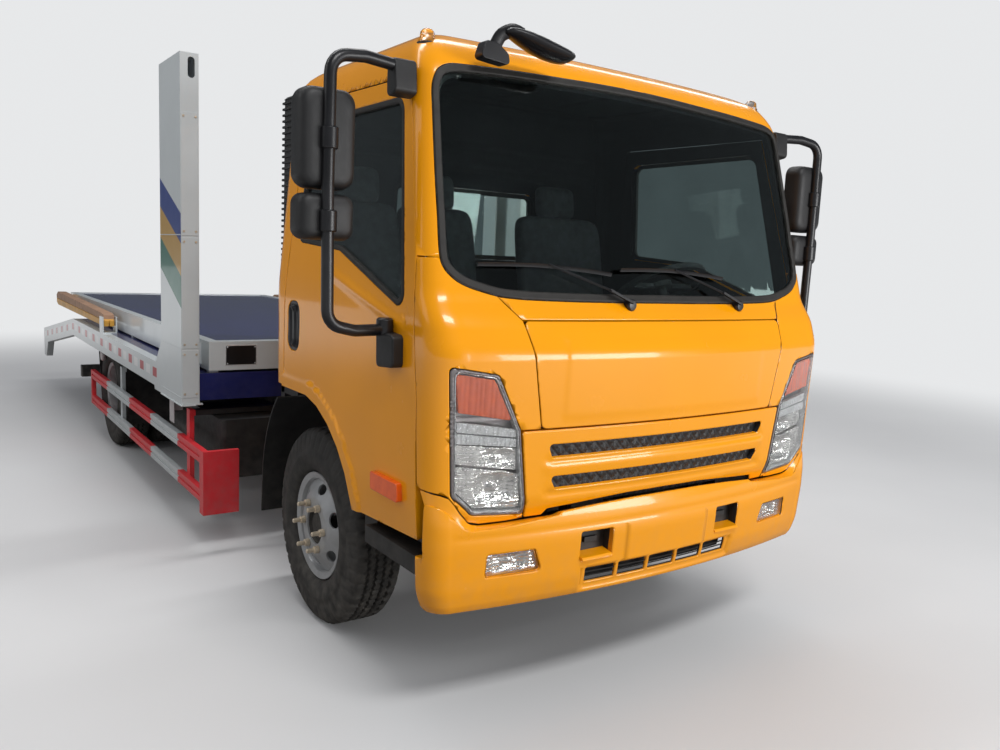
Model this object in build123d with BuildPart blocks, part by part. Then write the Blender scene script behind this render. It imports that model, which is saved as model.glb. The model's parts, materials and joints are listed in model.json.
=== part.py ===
"""Two-deck car carrier truck with a tilting cab and a sliding, tilting platform.

Millimetres, +Z up. The front faces -Y and the truck's right side is at -X.
The origin lies on the ground, under the middle of the overall length.
"""
import os
from functools import cache
from math import atan2, cos, hypot, radians, sin

from build123d import *

os.makedirs("parts", exist_ok=True)

# Overall sizes
length = 8200
width = 2300
front_overhang = 1200
wheelbase = 3850
front_axle_y = -length / 2 + front_overhang
tail_end = length - front_overhang

# Clearances
gap = 5
seat_gap = 0.3
pin_gap = 0.1
door_gap = 6
flap_gap = 8

# Rounded corners of openings
screen_corner = 90
window_corner = 35

# Wheels and tyres
tyre_radius = 425
tyre_width = 235
tyre_bead_radius = 206
# Tyre section from bead to tread: (how far it lies inside the full width, radius)
tyre_section = [
    (33.5, tyre_bead_radius),
    (33.5, 236),
    (6, 268),
    (0, 318),
    (6, 376),
    (18, 408),
    (38, tyre_radius),
]
front_tyre_x = 828
rear_outer_tyre_x = 942
dual_spacing = 265
axle_z = tyre_radius
hub_bore_radius = 30

# Chassis frame
rail_height = 200
rail_flange = 70
rail_web = 8
rail_outer_x = 425
frame_bottom = 500
frame_top = frame_bottom + rail_height
frame_front = -930
frame_rear = 5030
rail_inner_x = rail_outer_x - rail_flange

# Steering
kingpin_x = 700
kingpin_radius = 14

# Cab
cab_wall = 40
cab_floor_z = 1060
arch_top_z = 1012
tunnel_top_z = 745
cab_pivot_y = -980
cab_pivot_z = 620
bumper_rear_y = -1000
bumper_top_z = 750
bumper_bridge_z = 768
bumper_collar_z = 812

# Door hinges
hinge_x = 1012
hinge_y = -1010
hinge_levels = (860, 1330)
flap_hinge_y = -1113
flap_hinge_z = 1407.5

# Springs: leaf lengths each way from the axle, shortest at the bottom
leaf_thickness = 11
front_leaves = (300, 420, 530, 625)
front_spring_base = 418
front_spring_sag = 14
rear_leaves = (240, 340, 440, 540, 640)
rear_spring_base = 490
rear_spring_sag = 40

# Tilt cylinders: pivot on the chassis, eye under the platform's tilting frame
tilt_pivot_y = 4980
barrel_y = 2000
barrel_z = 560
eye_y = 2900
eye_z = 760
cylinder_x = 200
barrel_radius = 45
ram_radius = 25
barrel_length = 700

# Platform
platform_front = 1345
rail_thickness = 60
bend_y = 5000
deck_top = 912
deck_thickness = 20
side_rail_bottom = 765
column_base = 742
tail_drop = 265
tail_plate_bottom = 360
tilt_pivot_z = 660
column_front = 1330
column_depth = 440
column_width = 95
column_top = 2590

# Upper deck
upper_half_width = 1000
upper_bottom = 925
upper_height = 160
upper_rear = 6150
upper_rim = 60
arm_pivot_y = 3650
arm_pivot_z = 1005
arm_length = 2400


def side(x=0):
    """Plane seen from the left side: local x runs rearward from the front axle."""
    return Plane(origin=(x, front_axle_y, 0), x_dir=(0, 1, 0), z_dir=(1, 0, 0))


def plan(z=0):
    """Horizontal plane with its local origin above the front axle."""
    return Plane(origin=(0, front_axle_y, z))


def front(y=0):
    """Upright plane across the truck at distance y behind the front axle."""
    return Plane(origin=(0, front_axle_y + y, 0), x_dir=(1, 0, 0), z_dir=(0, -1, 0))


def prism(plane, points, amount, mode=Mode.ADD, grow=0, corner=0):
    """Extrude a polygon, drawn on the plane, along the plane's normal."""
    with BuildSketch(plane) as outline:
        with BuildLine() as edge:
            Polyline(*points, close=True)
        make_face(edge.edges())
        if grow:
            offset(amount=grow, kind=Kind.INTERSECTION)
        if corner:
            fillet(outline.vertices(), corner)
    extrude(outline.sketch, amount=amount, mode=mode)


def block(x, y, z, mode=Mode.ADD):
    """Box between (low, high) pairs, with y counted from the front axle."""
    with Locations(((x[0] + x[1]) / 2, front_axle_y + (y[0] + y[1]) / 2, (z[0] + z[1]) / 2)):
        Box(x[1] - x[0], y[1] - y[0], z[1] - z[0], mode=mode)


def twin_block(x, y, z, mode=Mode.ADD):
    """The same box on both sides of the truck."""
    block(x, y, z, mode)
    block((-x[1], -x[0]), y, z, mode)


def rod_x(x, y, z, radius, mode=Mode.ADD):
    """Round bar across the truck between x = (low, high)."""
    with BuildSketch(side(x[0])) as disc:
        with Locations((y, z)):
            Circle(radius)
    extrude(disc.sketch, amount=x[1] - x[0], mode=mode)


def twin_rod_x(x, y, z, radius, mode=Mode.ADD):
    """The same round bar on both sides of the truck."""
    rod_x(x, y, z, radius, mode)
    rod_x((-x[1], -x[0]), y, z, radius, mode)


def rod_y(x, y, z, radius, mode=Mode.ADD):
    """Round bar along the truck between y = (low, high)."""
    with BuildSketch(front(y[1])) as disc:
        with Locations((x, z)):
            Circle(radius)
    extrude(disc.sketch, amount=y[1] - y[0], mode=mode)


def rod_z(x, y, z, radius, mode=Mode.ADD):
    """Upright round bar between z = (low, high)."""
    with BuildSketch(plan(z[0])) as disc:
        with Locations((x, y)):
            Circle(radius)
    extrude(disc.sketch, amount=z[1] - z[0], mode=mode)


def save(piece, name):
    """Label a finished piece and write it as a STEP file."""
    piece.label = name
    export_step(piece, f"parts/{name}.step")


def mirrored(piece):
    """The same piece on the other side of the truck."""
    with BuildPart() as other:
        mirror(piece, about=Plane.YZ)
    return other.part


def spring_tip_top(leaves, base_z, sag):
    """Height of a spring's upper face at the tip of its longest leaf."""
    reach = leaves[-1]
    bend_radius = reach**2 / (2 * sag)
    top_radius = bend_radius - len(leaves) * leaf_thickness
    return base_z + bend_radius - top_radius * cos(reach / bend_radius)


# Chassis frame: two channel rails, cross members, cab pivot ears and platform pivots
with BuildPart() as chassis_frame:
    twin_block((rail_inner_x, rail_outer_x), (frame_front, frame_rear), (frame_bottom, frame_top))
    twin_block(
        (rail_inner_x, rail_outer_x - rail_web),
        (frame_front, frame_rear),
        (frame_bottom + rail_web, frame_top - rail_web),
        Mode.SUBTRACT,
    )
    for member_y in (-890, 1050, 1800, 3100, 4600, 4990):
        block(
            (-rail_outer_x + rail_web, rail_outer_x - rail_web),
            (member_y - 40, member_y + 40),
            (frame_bottom + 30, frame_top - 60),
        )
    # Ears and pins that the cab tilts on
    twin_block((375, 395), (cab_pivot_y - 30, frame_front), (cab_pivot_z - 40, cab_pivot_z + 40))
    twin_rod_x((335, 380), cab_pivot_y, cab_pivot_z, 12)
    # Hoop under the rear of the cab
    twin_block((rail_inner_x, rail_outer_x), (230, 300), (frame_top, arch_top_z - 30))
    block((-rail_outer_x, rail_outer_x), (230, 300), (arch_top_z - 60, arch_top_z - seat_gap))
    # Pins that the platform tilts on
    twin_rod_x((rail_outer_x - rail_web, 470), tilt_pivot_y, tilt_pivot_z, 20)
    # Lugs that the tilt cylinders push from
    for lug_x in (-cylinder_x, cylinder_x):
        for lug_side in (-45, 30):
            block((lug_x + lug_side, lug_x + lug_side + 15), (1840, barrel_y + 30), (525, 595))
        rod_x((lug_x - 45, lug_x + 45), barrel_y, barrel_z, 14)
    # Spring hangers
    front_seat_z = spring_tip_top(front_leaves, front_spring_base, front_spring_sag) + seat_gap
    rear_seat_z = spring_tip_top(rear_leaves, rear_spring_base, rear_spring_sag) + seat_gap
    for way in (-1, 1):
        front_end = way * front_leaves[-1]
        rear_end = way * rear_leaves[-1]
        for start, end, drop in ((-60, 1, 0), (1, 45, 32)):
            span = sorted((front_end + way * start, front_end + way * end))
            twin_block((rail_inner_x, rail_outer_x), span, (front_seat_z - drop, frame_bottom))
            span = sorted((wheelbase + rear_end + way * start, wheelbase + rear_end + way * end))
            twin_block((rail_outer_x - 1, 525), span, (rear_seat_z - drop, 640))
save(chassis_frame.part, "chassis_frame")


# Front axle: dropped beam with a boss for each kingpin
with BuildPart() as front_axle:
    half_beam = [(0, 330), (500, 330), (640, 388), (700, 388), (700, 462), (640, 462), (500, 400), (0, 400)]
    prism(front(35), half_beam, 70)
    prism(front(35), [(-x, z) for x, z in half_beam], 70)
    for boss_x in (-kingpin_x, kingpin_x):
        rod_z(boss_x, 0, (386, 464), 32)
        rod_z(boss_x, 0, (380, 470), kingpin_radius + pin_gap, Mode.SUBTRACT)
    twin_block((rail_inner_x, rail_outer_x), (-60, 60), (395, 418))
save(front_axle.part, "front_axle")

# Rear axle: tube, differential housing and spindles
with BuildPart() as rear_axle:
    rod_x((-580, 580), wheelbase, axle_z, 58)
    twin_rod_x((575, 850), wheelbase, axle_z, hub_bore_radius)
    rod_x((-90, 90), wheelbase, axle_z, 165)
    rod_x((-150, 150), wheelbase, axle_z, 120)
    rod_y(0, (wheelbase - 300, wheelbase), axle_z, 70)
    twin_block((450, 520), (wheelbase - 65, wheelbase + 65), (axle_z, 490))
save(rear_axle.part, "rear_axle")


def leaf_pack(x, centre_y, leaves, base_z, sag):
    """Stack of leaves on concentric arcs, shortest leaf at the bottom."""
    bend_radius = leaves[-1] ** 2 / (2 * sag)
    for index, leaf_reach in enumerate(leaves):
        outer = bend_radius - index * leaf_thickness
        inner = outer - leaf_thickness
        swing = leaf_reach / bend_radius
        middle_z = base_z + bend_radius
        left, right = sin(-swing), sin(swing)
        drop = cos(swing)
        with BuildSketch(side(x[0])) as leaf:
            with BuildLine() as edge:
                under = ThreePointArc(
                    (centre_y + outer * left, middle_z - outer * drop),
                    (centre_y, middle_z - outer),
                    (centre_y + outer * right, middle_z - outer * drop),
                )
                over = ThreePointArc(
                    (centre_y + inner * right, middle_z - inner * drop),
                    (centre_y, middle_z - inner),
                    (centre_y + inner * left, middle_z - inner * drop),
                )
                Line(under @ 1, over @ 0)
                Line(over @ 1, under @ 0)
            make_face(edge.edges())
        extrude(leaf.sketch, amount=x[1] - x[0])


# Leaf springs, two at each axle
with BuildPart() as leaf_springs:
    for spring_side in (-1, 1):
        front_x = sorted((spring_side * rail_inner_x, spring_side * rail_outer_x))
        rear_x = sorted((spring_side * 450, spring_side * 520))
        leaf_pack(front_x, 0, front_leaves, front_spring_base, front_spring_sag)
        leaf_pack(rear_x, wheelbase, rear_leaves, rear_spring_base, rear_spring_sag)
save(leaf_springs.part, "leaf_springs")

# Engine and gearbox as one plain block, with the radiator in front
with BuildPart() as engine_block:
    block((-290, 290), (-300, 620), (430, 930))
    block((-160, 160), (620, 1000), (400, 640))
    block((-300, 300), (-480, -420), (470, 960))
    block((-120, 120), (-420, -300), (560, 800))
    twin_block((289, rail_outer_x - rail_web - seat_gap), (80, 200), (560, 620))
save(engine_block.part, "engine_block")

# Propeller shaft from the gearbox to the rear axle
with BuildPart() as propeller_shaft:
    shaft_start = (0, 1000 + seat_gap, 470)
    shaft_end = (0, wheelbase - 300 - seat_gap, axle_z)
    shaft_rise = atan2(axle_z - 470, shaft_end[1] - shaft_start[1])
    rod_y(0, (shaft_start[1], shaft_start[1] + 60), 470, 55)
    rod_y(0, (shaft_end[1] - 60, shaft_end[1]), axle_z, 55)
    shaft_plane = Plane(
        origin=(0, front_axle_y + shaft_start[1] + 30, 470), x_dir=(1, 0, 0), z_dir=(0, cos(shaft_rise), sin(shaft_rise))
    )
    with BuildSketch(shaft_plane) as shaft_disc:
        Circle(40)
    extrude(shaft_disc.sketch, amount=(shaft_end[1] - shaft_start[1] - 60) / cos(shaft_rise))
save(propeller_shaft.part, "propeller_shaft")

# Fuel tank on the left, hung from the frame by two straps
with BuildPart() as fuel_tank:
    with BuildSketch(front(2580)) as tank_outline:
        with Locations((735, 500)):
            RectangleRounded(490, 380, 70)
    extrude(tank_outline.sketch, amount=1050)
    for strap_y in (1700, 2250):
        block((rail_outer_x + seat_gap, 500), (strap_y - 30, strap_y + 30), (560, 660))
save(fuel_tank.part, "fuel_tank")

# Air tanks, battery box and silencer on the right
with BuildPart() as air_tanks:
    for tank_z in (370, 590):
        rod_y(-760, (2100, 2750), tank_z, 105)
    block((-700, -rail_outer_x - seat_gap), (2200, 2260), (580, 600))
    block((-700, -rail_outer_x - seat_gap), (2590, 2650), (580, 600))
    block((-800, -720), (2400, 2450), (460, 500))
save(air_tanks.part, "air_tanks")

with BuildPart() as battery_box:
    block((-960, -520), (1250, 1850), (330, 660))
    block((-520, -rail_outer_x - seat_gap), (1300, 1800), (560, 640))
    fillet(battery_box.edges().filter_by(Axis.Z).filter_by_position(Axis.X, -970, -900), 30)
save(battery_box.part, "battery_box")

with BuildPart() as silencer:
    rod_y(-600, (700, 1180), 480, 120)
    rod_y(-600, (1180, 1225), 480, 30)
    block((-500, -rail_outer_x - seat_gap), (900, 960), (520, 560))
save(silencer.part, "silencer")

# Side guards: two rails a side with a box end at the front
guard_x = (1085, 1118)
guard_groove = 7
with BuildPart() as side_guards:
    for rail_z in ((262, 330), (473, 542)):
        twin_block(guard_x, (1070, 4330), rail_z)
        middle = (rail_z[0] + rail_z[1]) / 2
        groove_z = (middle - guard_groove, middle + guard_groove)
        twin_block((guard_x[1] - guard_groove, guard_x[1] + 1), (1111, 4289), groove_z, Mode.SUBTRACT)
    twin_block((930, guard_x[1]), (1040, 1070), (200, 542))
    twin_block((guard_x[0], guard_x[1]), (1070, 1110), (200, 542))
    twin_block(guard_x, (4290, 4330), (262, 542))
    for hanger_y in (1450, 3270):
        twin_block((1060, 1085), (hanger_y - 30, hanger_y + 30), (280, 700))
        twin_block((rail_outer_x + seat_gap, 1060), (hanger_y - 30, hanger_y + 30), (665, 695))
save(side_guards.part, "side_guards")

# Mudguards behind the front wheels and flaps round the rear ones
with BuildPart() as mudguards:
    for flap_x in (-1, 1):
        flap_span = sorted((flap_x * 570, flap_x * 960))
        with BuildSketch(side(flap_span[0])) as guard_curve:
            with BuildLine() as edge:
                inside = ThreePointArc((395, 925), (520, 760), (585, 560))
                outside = ThreePointArc((591, 560), (526, 764), (399, 930))
                Polyline(inside @ 1, (600, 330), (606, 330), outside @ 0)
                Line(outside @ 1, inside @ 0)
            make_face(edge.edges())
        extrude(guard_curve.sketch, amount=flap_span[1] - flap_span[0])
    twin_block((rail_outer_x + seat_gap, 570), (500, 530), (640, 670))
    twin_block((560, 590), (500, 560), (640, 670))
    for flap_y in (wheelbase - 520, wheelbase + 510):
        twin_block((rail_outer_x + seat_gap, 1050), (flap_y - 40, flap_y), (700, 740))
        for flap_way in (-1, 1):
            hung = [(570, 740), (1050, 740), (1030, 260), (600, 260)]
            prism(front(flap_y), [(flap_way * x, z) for x, z in hung], -8)
save(mudguards.part, "mudguards")

# Rear underrun bar with its lamps
with BuildPart() as rear_bumper:
    block((-1100, 1100), (4890, 4970), (400, frame_bottom - seat_gap))
    twin_block((600, 950), (4970, 5010), (410, 490))
    block((-220, 220), (4970, 4976), (405, 495))
save(rear_bumper.part, "rear_bumper")

# Engine air intake standing behind the cab on the right
with BuildPart() as air_intake:
    block((-930, -730), (430, 560), (900, 2300))
    for rib in range(12):
        rib_z = 1000 + rib * 105
        block((-940, -720), (422, 568), (rib_z, rib_z + 22))
    block((-860, -800), (550, 670), (905, 960))
    block((-860, -800), (620, 670), (640, 960))
    block((-860, -rail_outer_x - seat_gap), (620, 670), (640, 690))
save(air_intake.part, "air_intake")


# Steering knuckle, left: yoke round the axle boss, kingpin, brake plate and spindle
def knuckle():
    with BuildPart() as piece:
        for ear_z in ((362, 384), (466, 488)):
            rod_z(kingpin_x, 0, ear_z, 34)
            block((kingpin_x, 742), (-34, 34), ear_z)
        block((736, 744), (-60, 60), (362, 488))
        rod_z(kingpin_x, 0, (362, 488), kingpin_radius)
        rod_x((743, 747), 0, axle_z, 150)
        rod_x((743, 868), 0, axle_z, hub_bore_radius)
    return piece.part


save(knuckle(), "knuckle_left")
save(mirrored(knuckle()), "knuckle_right")


def tyre(centre_x, centre_y):
    """One tyre, turned about the axle from its section."""
    with BuildPart() as piece:
        section_plane = Plane(
            origin=(centre_x, front_axle_y + centre_y, axle_z), x_dir=(1, 0, 0), z_dir=(0, -1, 0)
        )
        outline = [
            (tyre_width / 2 - reach, radius) for reach, radius in tyre_section
        ]
        with BuildSketch(section_plane):
            with BuildLine():
                Polyline(*outline, *[(-x, radius) for x, radius in reversed(outline)], close=True)
            make_face()
        revolve(axis=Axis(section_plane.origin, (1, 0, 0)))
    return piece.part


def rim_ring(centre_x, centre_y, disc_points):
    """Barrel, flanges and disc of one rim; disc points are (outward, radius)."""
    with BuildPart() as piece:
        section_plane = Plane(
            origin=(centre_x, front_axle_y + centre_y, axle_z), x_dir=(1, 0, 0), z_dir=(0, -1, 0)
        )
        with BuildSketch(section_plane):
            with BuildLine():
                Polyline(
                    (-96, 231), (-88, 231), (-86, 205.7), (86, 205.7), (88, 231),
                    (96, 231), (93, 196), (-93, 196), close=True,
                )
            make_face()
            with BuildLine():
                Polyline(*disc_points, close=True)
            make_face()
        revolve(axis=Axis(section_plane.origin, (1, 0, 0)))
    return piece.part


def front_wheel():
    """Front rim with its disc, hub, studs and brake drum."""
    disc = [(20, 198), (32, 198), (52, 150), (75, 112), (75, 0), (63, 0), (63, 106), (42, 144), (20, 190)]
    with BuildPart() as piece:
        add(rim_ring(front_tyre_x, 0, disc))
        rod_x((751, 820), 0, axle_z, 165)
        rod_x((800, front_tyre_x + 64), 0, axle_z, 70)
        rod_x((front_tyre_x + 70, front_tyre_x + 108), 0, axle_z, 48)
        for stud in range(6):
            angle = radians(60 * stud)
            rod_x(
                (front_tyre_x + 70, front_tyre_x + 114), 85 * sin(angle), axle_z + 85 * cos(angle), 11
            )
        for hole in range(6):
            angle = radians(60 * hole + 30)
            rod_x(
                (front_tyre_x + 10, front_tyre_x + 70),
                145 * sin(angle),
                axle_z + 145 * cos(angle),
                19,
                Mode.SUBTRACT,
            )
        rod_x((740, 873), 0, axle_z, hub_bore_radius + pin_gap, Mode.SUBTRACT)
    return piece.part


def rear_wheel():
    """Twin rear rims with their discs, hub, studs and brake drum."""
    disc = [(-42, 198), (-30, 198), (-66, 150), (-122, 118), (-122, 0), (-133, 0), (-133, 124), (-74, 158)]
    with BuildPart() as piece:
        add(rim_ring(rear_outer_tyre_x, wheelbase, disc))
        inner_x = rear_outer_tyre_x - dual_spacing
        add(rim_ring(inner_x, wheelbase, [(-a, r) for a, r in disc]))
        rod_x((590, 700), wheelbase, axle_z, 165)
        rod_x((690, 895), wheelbase, axle_z, 75)
        for stud in range(6):
            angle = radians(60 * stud)
            rod_x((800, 860), wheelbase + 96 * sin(angle), axle_z + 96 * cos(angle), 11)
        rod_x((580, 855), wheelbase, axle_z, hub_bore_radius + pin_gap, Mode.SUBTRACT)
    return piece.part


for wheel_side, flip in (("left", False), ("right", True)):
    with BuildPart() as rear_tyres:
        add(tyre(rear_outer_tyre_x, wheelbase))
        add(tyre(rear_outer_tyre_x - dual_spacing, wheelbase))
    wheel_pieces = {
        f"tyre_front_{wheel_side}": tyre(front_tyre_x, 0),
        f"rim_front_{wheel_side}": front_wheel(),
        f"tyres_rear_{wheel_side}": rear_tyres.part,
        f"rims_rear_{wheel_side}": rear_wheel(),
    }
    for piece_name, piece in wheel_pieces.items():
        save(mirrored(piece) if flip else piece, piece_name)


# Cab body sections from the bumper line to the roof, as
# (height, front at the middle, how far the corners lie behind it, half width, rear, corner radius)
cab_sections = [
    (640, -1075, 40, 985, 370, 60),
    (790, -1120, 60, 995, 370, 80),
    (1030, -1135, 70, 1000, 370, 85),
    (1300, -1155, 75, 1000, 370, 85),
    (1400, -1110, 60, 998, 370, 80),
    (1480, -1045, 45, 992, 370, 80),
    (2240, -860, 40, 925, 360, 75),
    (2330, -790, 40, 890, 330, 75),
    (2390, -680, 40, 800, 240, 75),
]
roof_start_z = 2000


@cache
def cab_volume(inset):
    """Closed form of the cab, set in from its outer skin."""
    with BuildPart() as volume:
        for height, front_y, corner_drop, half, rear_y, corner in cab_sections:
            level = height - inset if height > roof_start_z else height
            nose = front_y + inset
            start = nose + corner_drop
            reach = half - inset
            back = rear_y - inset
            turn = max(corner - inset, 15)
            bite = turn * (1 - sin(radians(45)))
            with BuildSketch(plan(level)):
                with BuildLine():
                    ThreePointArc((turn - reach, start), (0, nose), (reach - turn, start))
                    ThreePointArc((reach - turn, start), (reach - bite, start + bite), (reach, start + turn))
                    Line((reach, start + turn), (reach, back - turn))
                    ThreePointArc((reach, back - turn), (reach - bite, back - bite), (reach - turn, back))
                    Line((reach - turn, back), (turn - reach, back))
                    ThreePointArc((turn - reach, back), (bite - reach, back - bite), (-reach, back - turn))
                    Line((-reach, back - turn), (-reach, start + turn))
                    ThreePointArc((-reach, start + turn), (bite - reach, start + bite), (turn - reach, start))
                make_face()
        loft(ruled=True)
    return volume.part


@cache
def cab_layer(outer_inset, inner_inset):
    """Skin of the cab between two depths."""
    with BuildPart() as layer:
        add(cab_volume(outer_inset))
        add(cab_volume(inner_inset), mode=Mode.SUBTRACT)
    return layer.part


arch_points = [(-492, 560), (-485, 660), (-440, 770), (-371, 856), (-280, 930), (-171, 985), (-60, arch_top_z)]
underside = arch_points + [(450, arch_top_z), (450, 560)]
door_points = [(-977, 667), (-965, 1140), (-900, 1620), (-738, 2200), (150, 2215), (215, 1500), (215, 900), (-440, 667)]
door_window = [(-862, 1415), (-300, 1600), (120, 1600), (105, 2130), (-705, 2130)]
handle_points = [(45, 1180), (175, 1180), (175, 1392), (45, 1392)]
screen_frame_points = [(-905, 1466), (905, 1466), (872, 2228), (-872, 2228)]
windscreen_points = [(-872, 1516), (872, 1516), (842, 2200), (-842, 2200)]
rear_window_points = [(-400, 1600), (400, 1600), (400, 1950), (-400, 1950)]
flap_points = [(-600, 1045), (600, 1045), (665, 1405), (-665, 1405)]
grille_points = [
    (-655, 757), (-575, 757), (-560, 778), (560, 778), (575, 757), (655, 757), (673, 1035), (-673, 1035),
]
grille_mouth = [(-656, 740), (656, 740), (674, 1046), (-674, 1046)]
headlamp_points = [(960, 1255), (770, 1225), (675, 1040), (660, 795), (880, 795), (945, 840)]
fog_points = [(637, 642), (814, 650), (800, 572), (600, 564)]
tow_points = [(278, 580), (425, 580), (425, 662), (278, 662)]
plate_points = [(-220, 538), (220, 538), (220, 688), (-220, 688)]
# Top edge of the bumper from the middle outwards: bridge, ledge under the lamp, collar at the corner
bumper_edge = [(505, bumper_bridge_z), (525, bumper_top_z), (890, bumper_top_z), (932, 768), (968, bumper_collar_z)]
front_reach = 900


def bumper_field(rise):
    """Front view of everything below the bumper's top edge."""
    edge = [(x, z + rise) for x, z in bumper_edge + [(1100, bumper_collar_z)]]
    return [(-x, z) for x, z in reversed(edge)] + edge + [(1100, 400), (-1100, 400)]


skin = cab_layer(0, cab_wall)
deep_skin = cab_layer(-gap, cab_wall + gap)


def skin_cut(layer, plane, points, amount, grow=0, corner=0):
    """Part of a cab layer inside a prism."""
    with BuildPart() as piece:
        add(layer)
        prism(plane, points, amount, Mode.INTERSECT, grow, corner)
    return piece.part


def flipped(points):
    """Mirror points drawn on an upright cross plane."""
    return [(-x, z) for x, z in points]


# Cab floor with its wells, then the shell: pillars, roof and walls with every opening cut
with BuildPart() as cab_room:
    add(cab_volume(cab_wall))
    with BuildPart(mode=Mode.PRIVATE) as room_limits:
        block((-1100, 1100), (-1200, 400), (cab_floor_z, 2400))
        twin_block((490, 1100), (-960, -600), (700, cab_floor_z))
        block((-490, 490), (-960, -600), (790, cab_floor_z))
    add(room_limits.part, mode=Mode.INTERSECT)


def cut_underside():
    """Wheel arches, the room over the chassis and the place of the bumper."""
    prism(side(-1100), underside, 2200, Mode.SUBTRACT)
    block((-455, 455), (-1300, -400), (600, tunnel_top_z), Mode.SUBTRACT)
    block((-455, 455), (-560, 450), (600, arch_top_z), Mode.SUBTRACT)
    prism(front(bumper_rear_y), bumper_field(gap), 300, Mode.SUBTRACT)


with BuildPart() as cab_floor:
    add(cab_volume(cab_wall + seat_gap))
    add(cab_room.part, mode=Mode.SUBTRACT)
    block((-1100, 1100), (-1300, 500), (cab_floor_z, 2600), Mode.SUBTRACT)
    cut_underside()
    # Lugs that the cab tilts on
    twin_block((345, 365), (cab_pivot_y - 25, cab_pivot_y + 25), (cab_pivot_z - 25, tunnel_top_z))
    twin_rod_x((345, 365), cab_pivot_y, cab_pivot_z, 12 + pin_gap, Mode.SUBTRACT)
save(cab_floor.part, "cab_floor")

with BuildPart() as cab_shell:
    add(cab_layer(0, cab_wall))
    cut_underside()
    for door_x in (-1100, 800):
        add(skin_cut(deep_skin, side(door_x), door_points, 300, door_gap), mode=Mode.SUBTRACT)
    add(skin_cut(deep_skin, front(-600), screen_frame_points, front_reach, 0, screen_corner), mode=Mode.SUBTRACT)
    add(skin_cut(deep_skin, front(500), rear_window_points, 300, 0, window_corner), mode=Mode.SUBTRACT)
    add(skin_cut(deep_skin, front(-600), flap_points, front_reach, flap_gap), mode=Mode.SUBTRACT)
    add(skin_cut(deep_skin, front(-600), grille_mouth, front_reach), mode=Mode.SUBTRACT)
    for lamp_points in (headlamp_points, flipped(headlamp_points)):
        add(skin_cut(deep_skin, front(-600), lamp_points, front_reach), mode=Mode.SUBTRACT)
    # Flap hinge pins with their knuckles
    for knuckle_x in (-150, 150):
        rod_x((knuckle_x - 45, knuckle_x + 45), flap_hinge_y, flap_hinge_z, 3)
        for end_x in ((knuckle_x - 45, knuckle_x - 27), (knuckle_x + 27, knuckle_x + 45)):
            rod_x(end_x, flap_hinge_y, flap_hinge_z, 6)
            block(end_x, (flap_hinge_y, flap_hinge_y + 28), (1411, 1416))
            block(end_x, (flap_hinge_y - 4, flap_hinge_y + 4), (1408, 1416))
    # Door hinge pins with their knuckles
    for hinge_z in hinge_levels:
        for hinge_side in (-hinge_x, hinge_x):
            rod_z(hinge_side, hinge_y, (hinge_z - 36, hinge_z + 36), 5)
            for end_z in ((hinge_z - 36, hinge_z - 22), (hinge_z + 22, hinge_z + 36)):
                rod_z(hinge_side, hinge_y, end_z, 10)
                twin_block((965, hinge_x), (hinge_y - 8, hinge_y), end_z)
save(cab_shell.part, "cab_shell")

with BuildPart() as front_flap:
    add(skin_cut(cab_layer(0, 4), front(-600), flap_points, front_reach))
    add(skin_cut(cab_layer(3.9, 25), front(-600), flap_points, front_reach, -14))
    for knuckle_x in (-150, 150):
        rod_x((knuckle_x - 25, knuckle_x + 25), flap_hinge_y, flap_hinge_z, 6)
        block((knuckle_x - 25, knuckle_x + 25), (flap_hinge_y, flap_hinge_y + 22), (1390, 1404))
        rod_x((knuckle_x - 26, knuckle_x + 26), flap_hinge_y, flap_hinge_z, 3 + pin_gap, Mode.SUBTRACT)
save(front_flap.part, "front_flap")

with BuildPart() as grille_panel:
    add(skin_cut(skin, front(-600), grille_points, front_reach))
    for slot_z in (845, 963):
        slot = [(-546, slot_z - 25), (546, slot_z - 25), (560, slot_z + 25), (-560, slot_z + 25)]
        prism(front(-600), slot, front_reach, Mode.SUBTRACT, 0, 10)
save(grille_panel.part, "grille_panel")

with BuildPart() as cab_glass:
    add(skin_cut(cab_layer(8, 14), front(-600), windscreen_points, front_reach, 0, screen_corner))
    add(skin_cut(cab_layer(15, 20), front(500), rear_window_points, 300, 0, window_corner))
save(cab_glass.part, "cab_glass")

# Rubber round the windscreen, standing a little proud of the skin
with BuildPart() as screen_seal:
    add(skin_cut(cab_layer(-5, 24), front(-600), screen_frame_points, front_reach, 0, screen_corner))
    prism(front(-600), windscreen_points, front_reach, Mode.SUBTRACT, 0, screen_corner)
save(screen_seal.part, "screen_seal")

# Bumper sections: (height, front at the middle, corner drop, half width, corner radius)
bumper_sections = [
    (448, -1150, 80, 960, 90),
    (520, -1195, 90, 995, 100),
    (650, -1200, 90, 1000, 100),
    (735, -1185, 80, 1000, 95),
    (bumper_collar_z, -1150, 70, 1000, 90),
]


def bumper_volume(inset):
    """Closed form of the bumper, set in from its outer face."""
    with BuildPart() as volume:
        for height, front_y, corner_drop, half, corner in bumper_sections:
            nose = front_y + inset
            start = nose + corner_drop
            reach = half - inset
            turn = corner - inset
            bite = turn * (1 - sin(radians(45)))
            with BuildSketch(plan(height)):
                with BuildLine():
                    ThreePointArc((turn - reach, start), (0, nose), (reach - turn, start))
                    ThreePointArc((reach - turn, start), (reach - bite, start + bite), (reach, start + turn))
                    Polyline((reach, start + turn), (reach, -900), (-reach, -900), (-reach, start + turn))
                    ThreePointArc((-reach, start + turn), (bite - reach, start + bite), (turn - reach, start))
                make_face()
        loft(ruled=True)
    return volume.part


bumper_skin = 30
with BuildPart() as bumper_layer:
    add(bumper_volume(0))
    add(bumper_volume(bumper_skin), mode=Mode.SUBTRACT)
    prism(front(bumper_rear_y), bumper_field(0), 300, Mode.INTERSECT)

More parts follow.
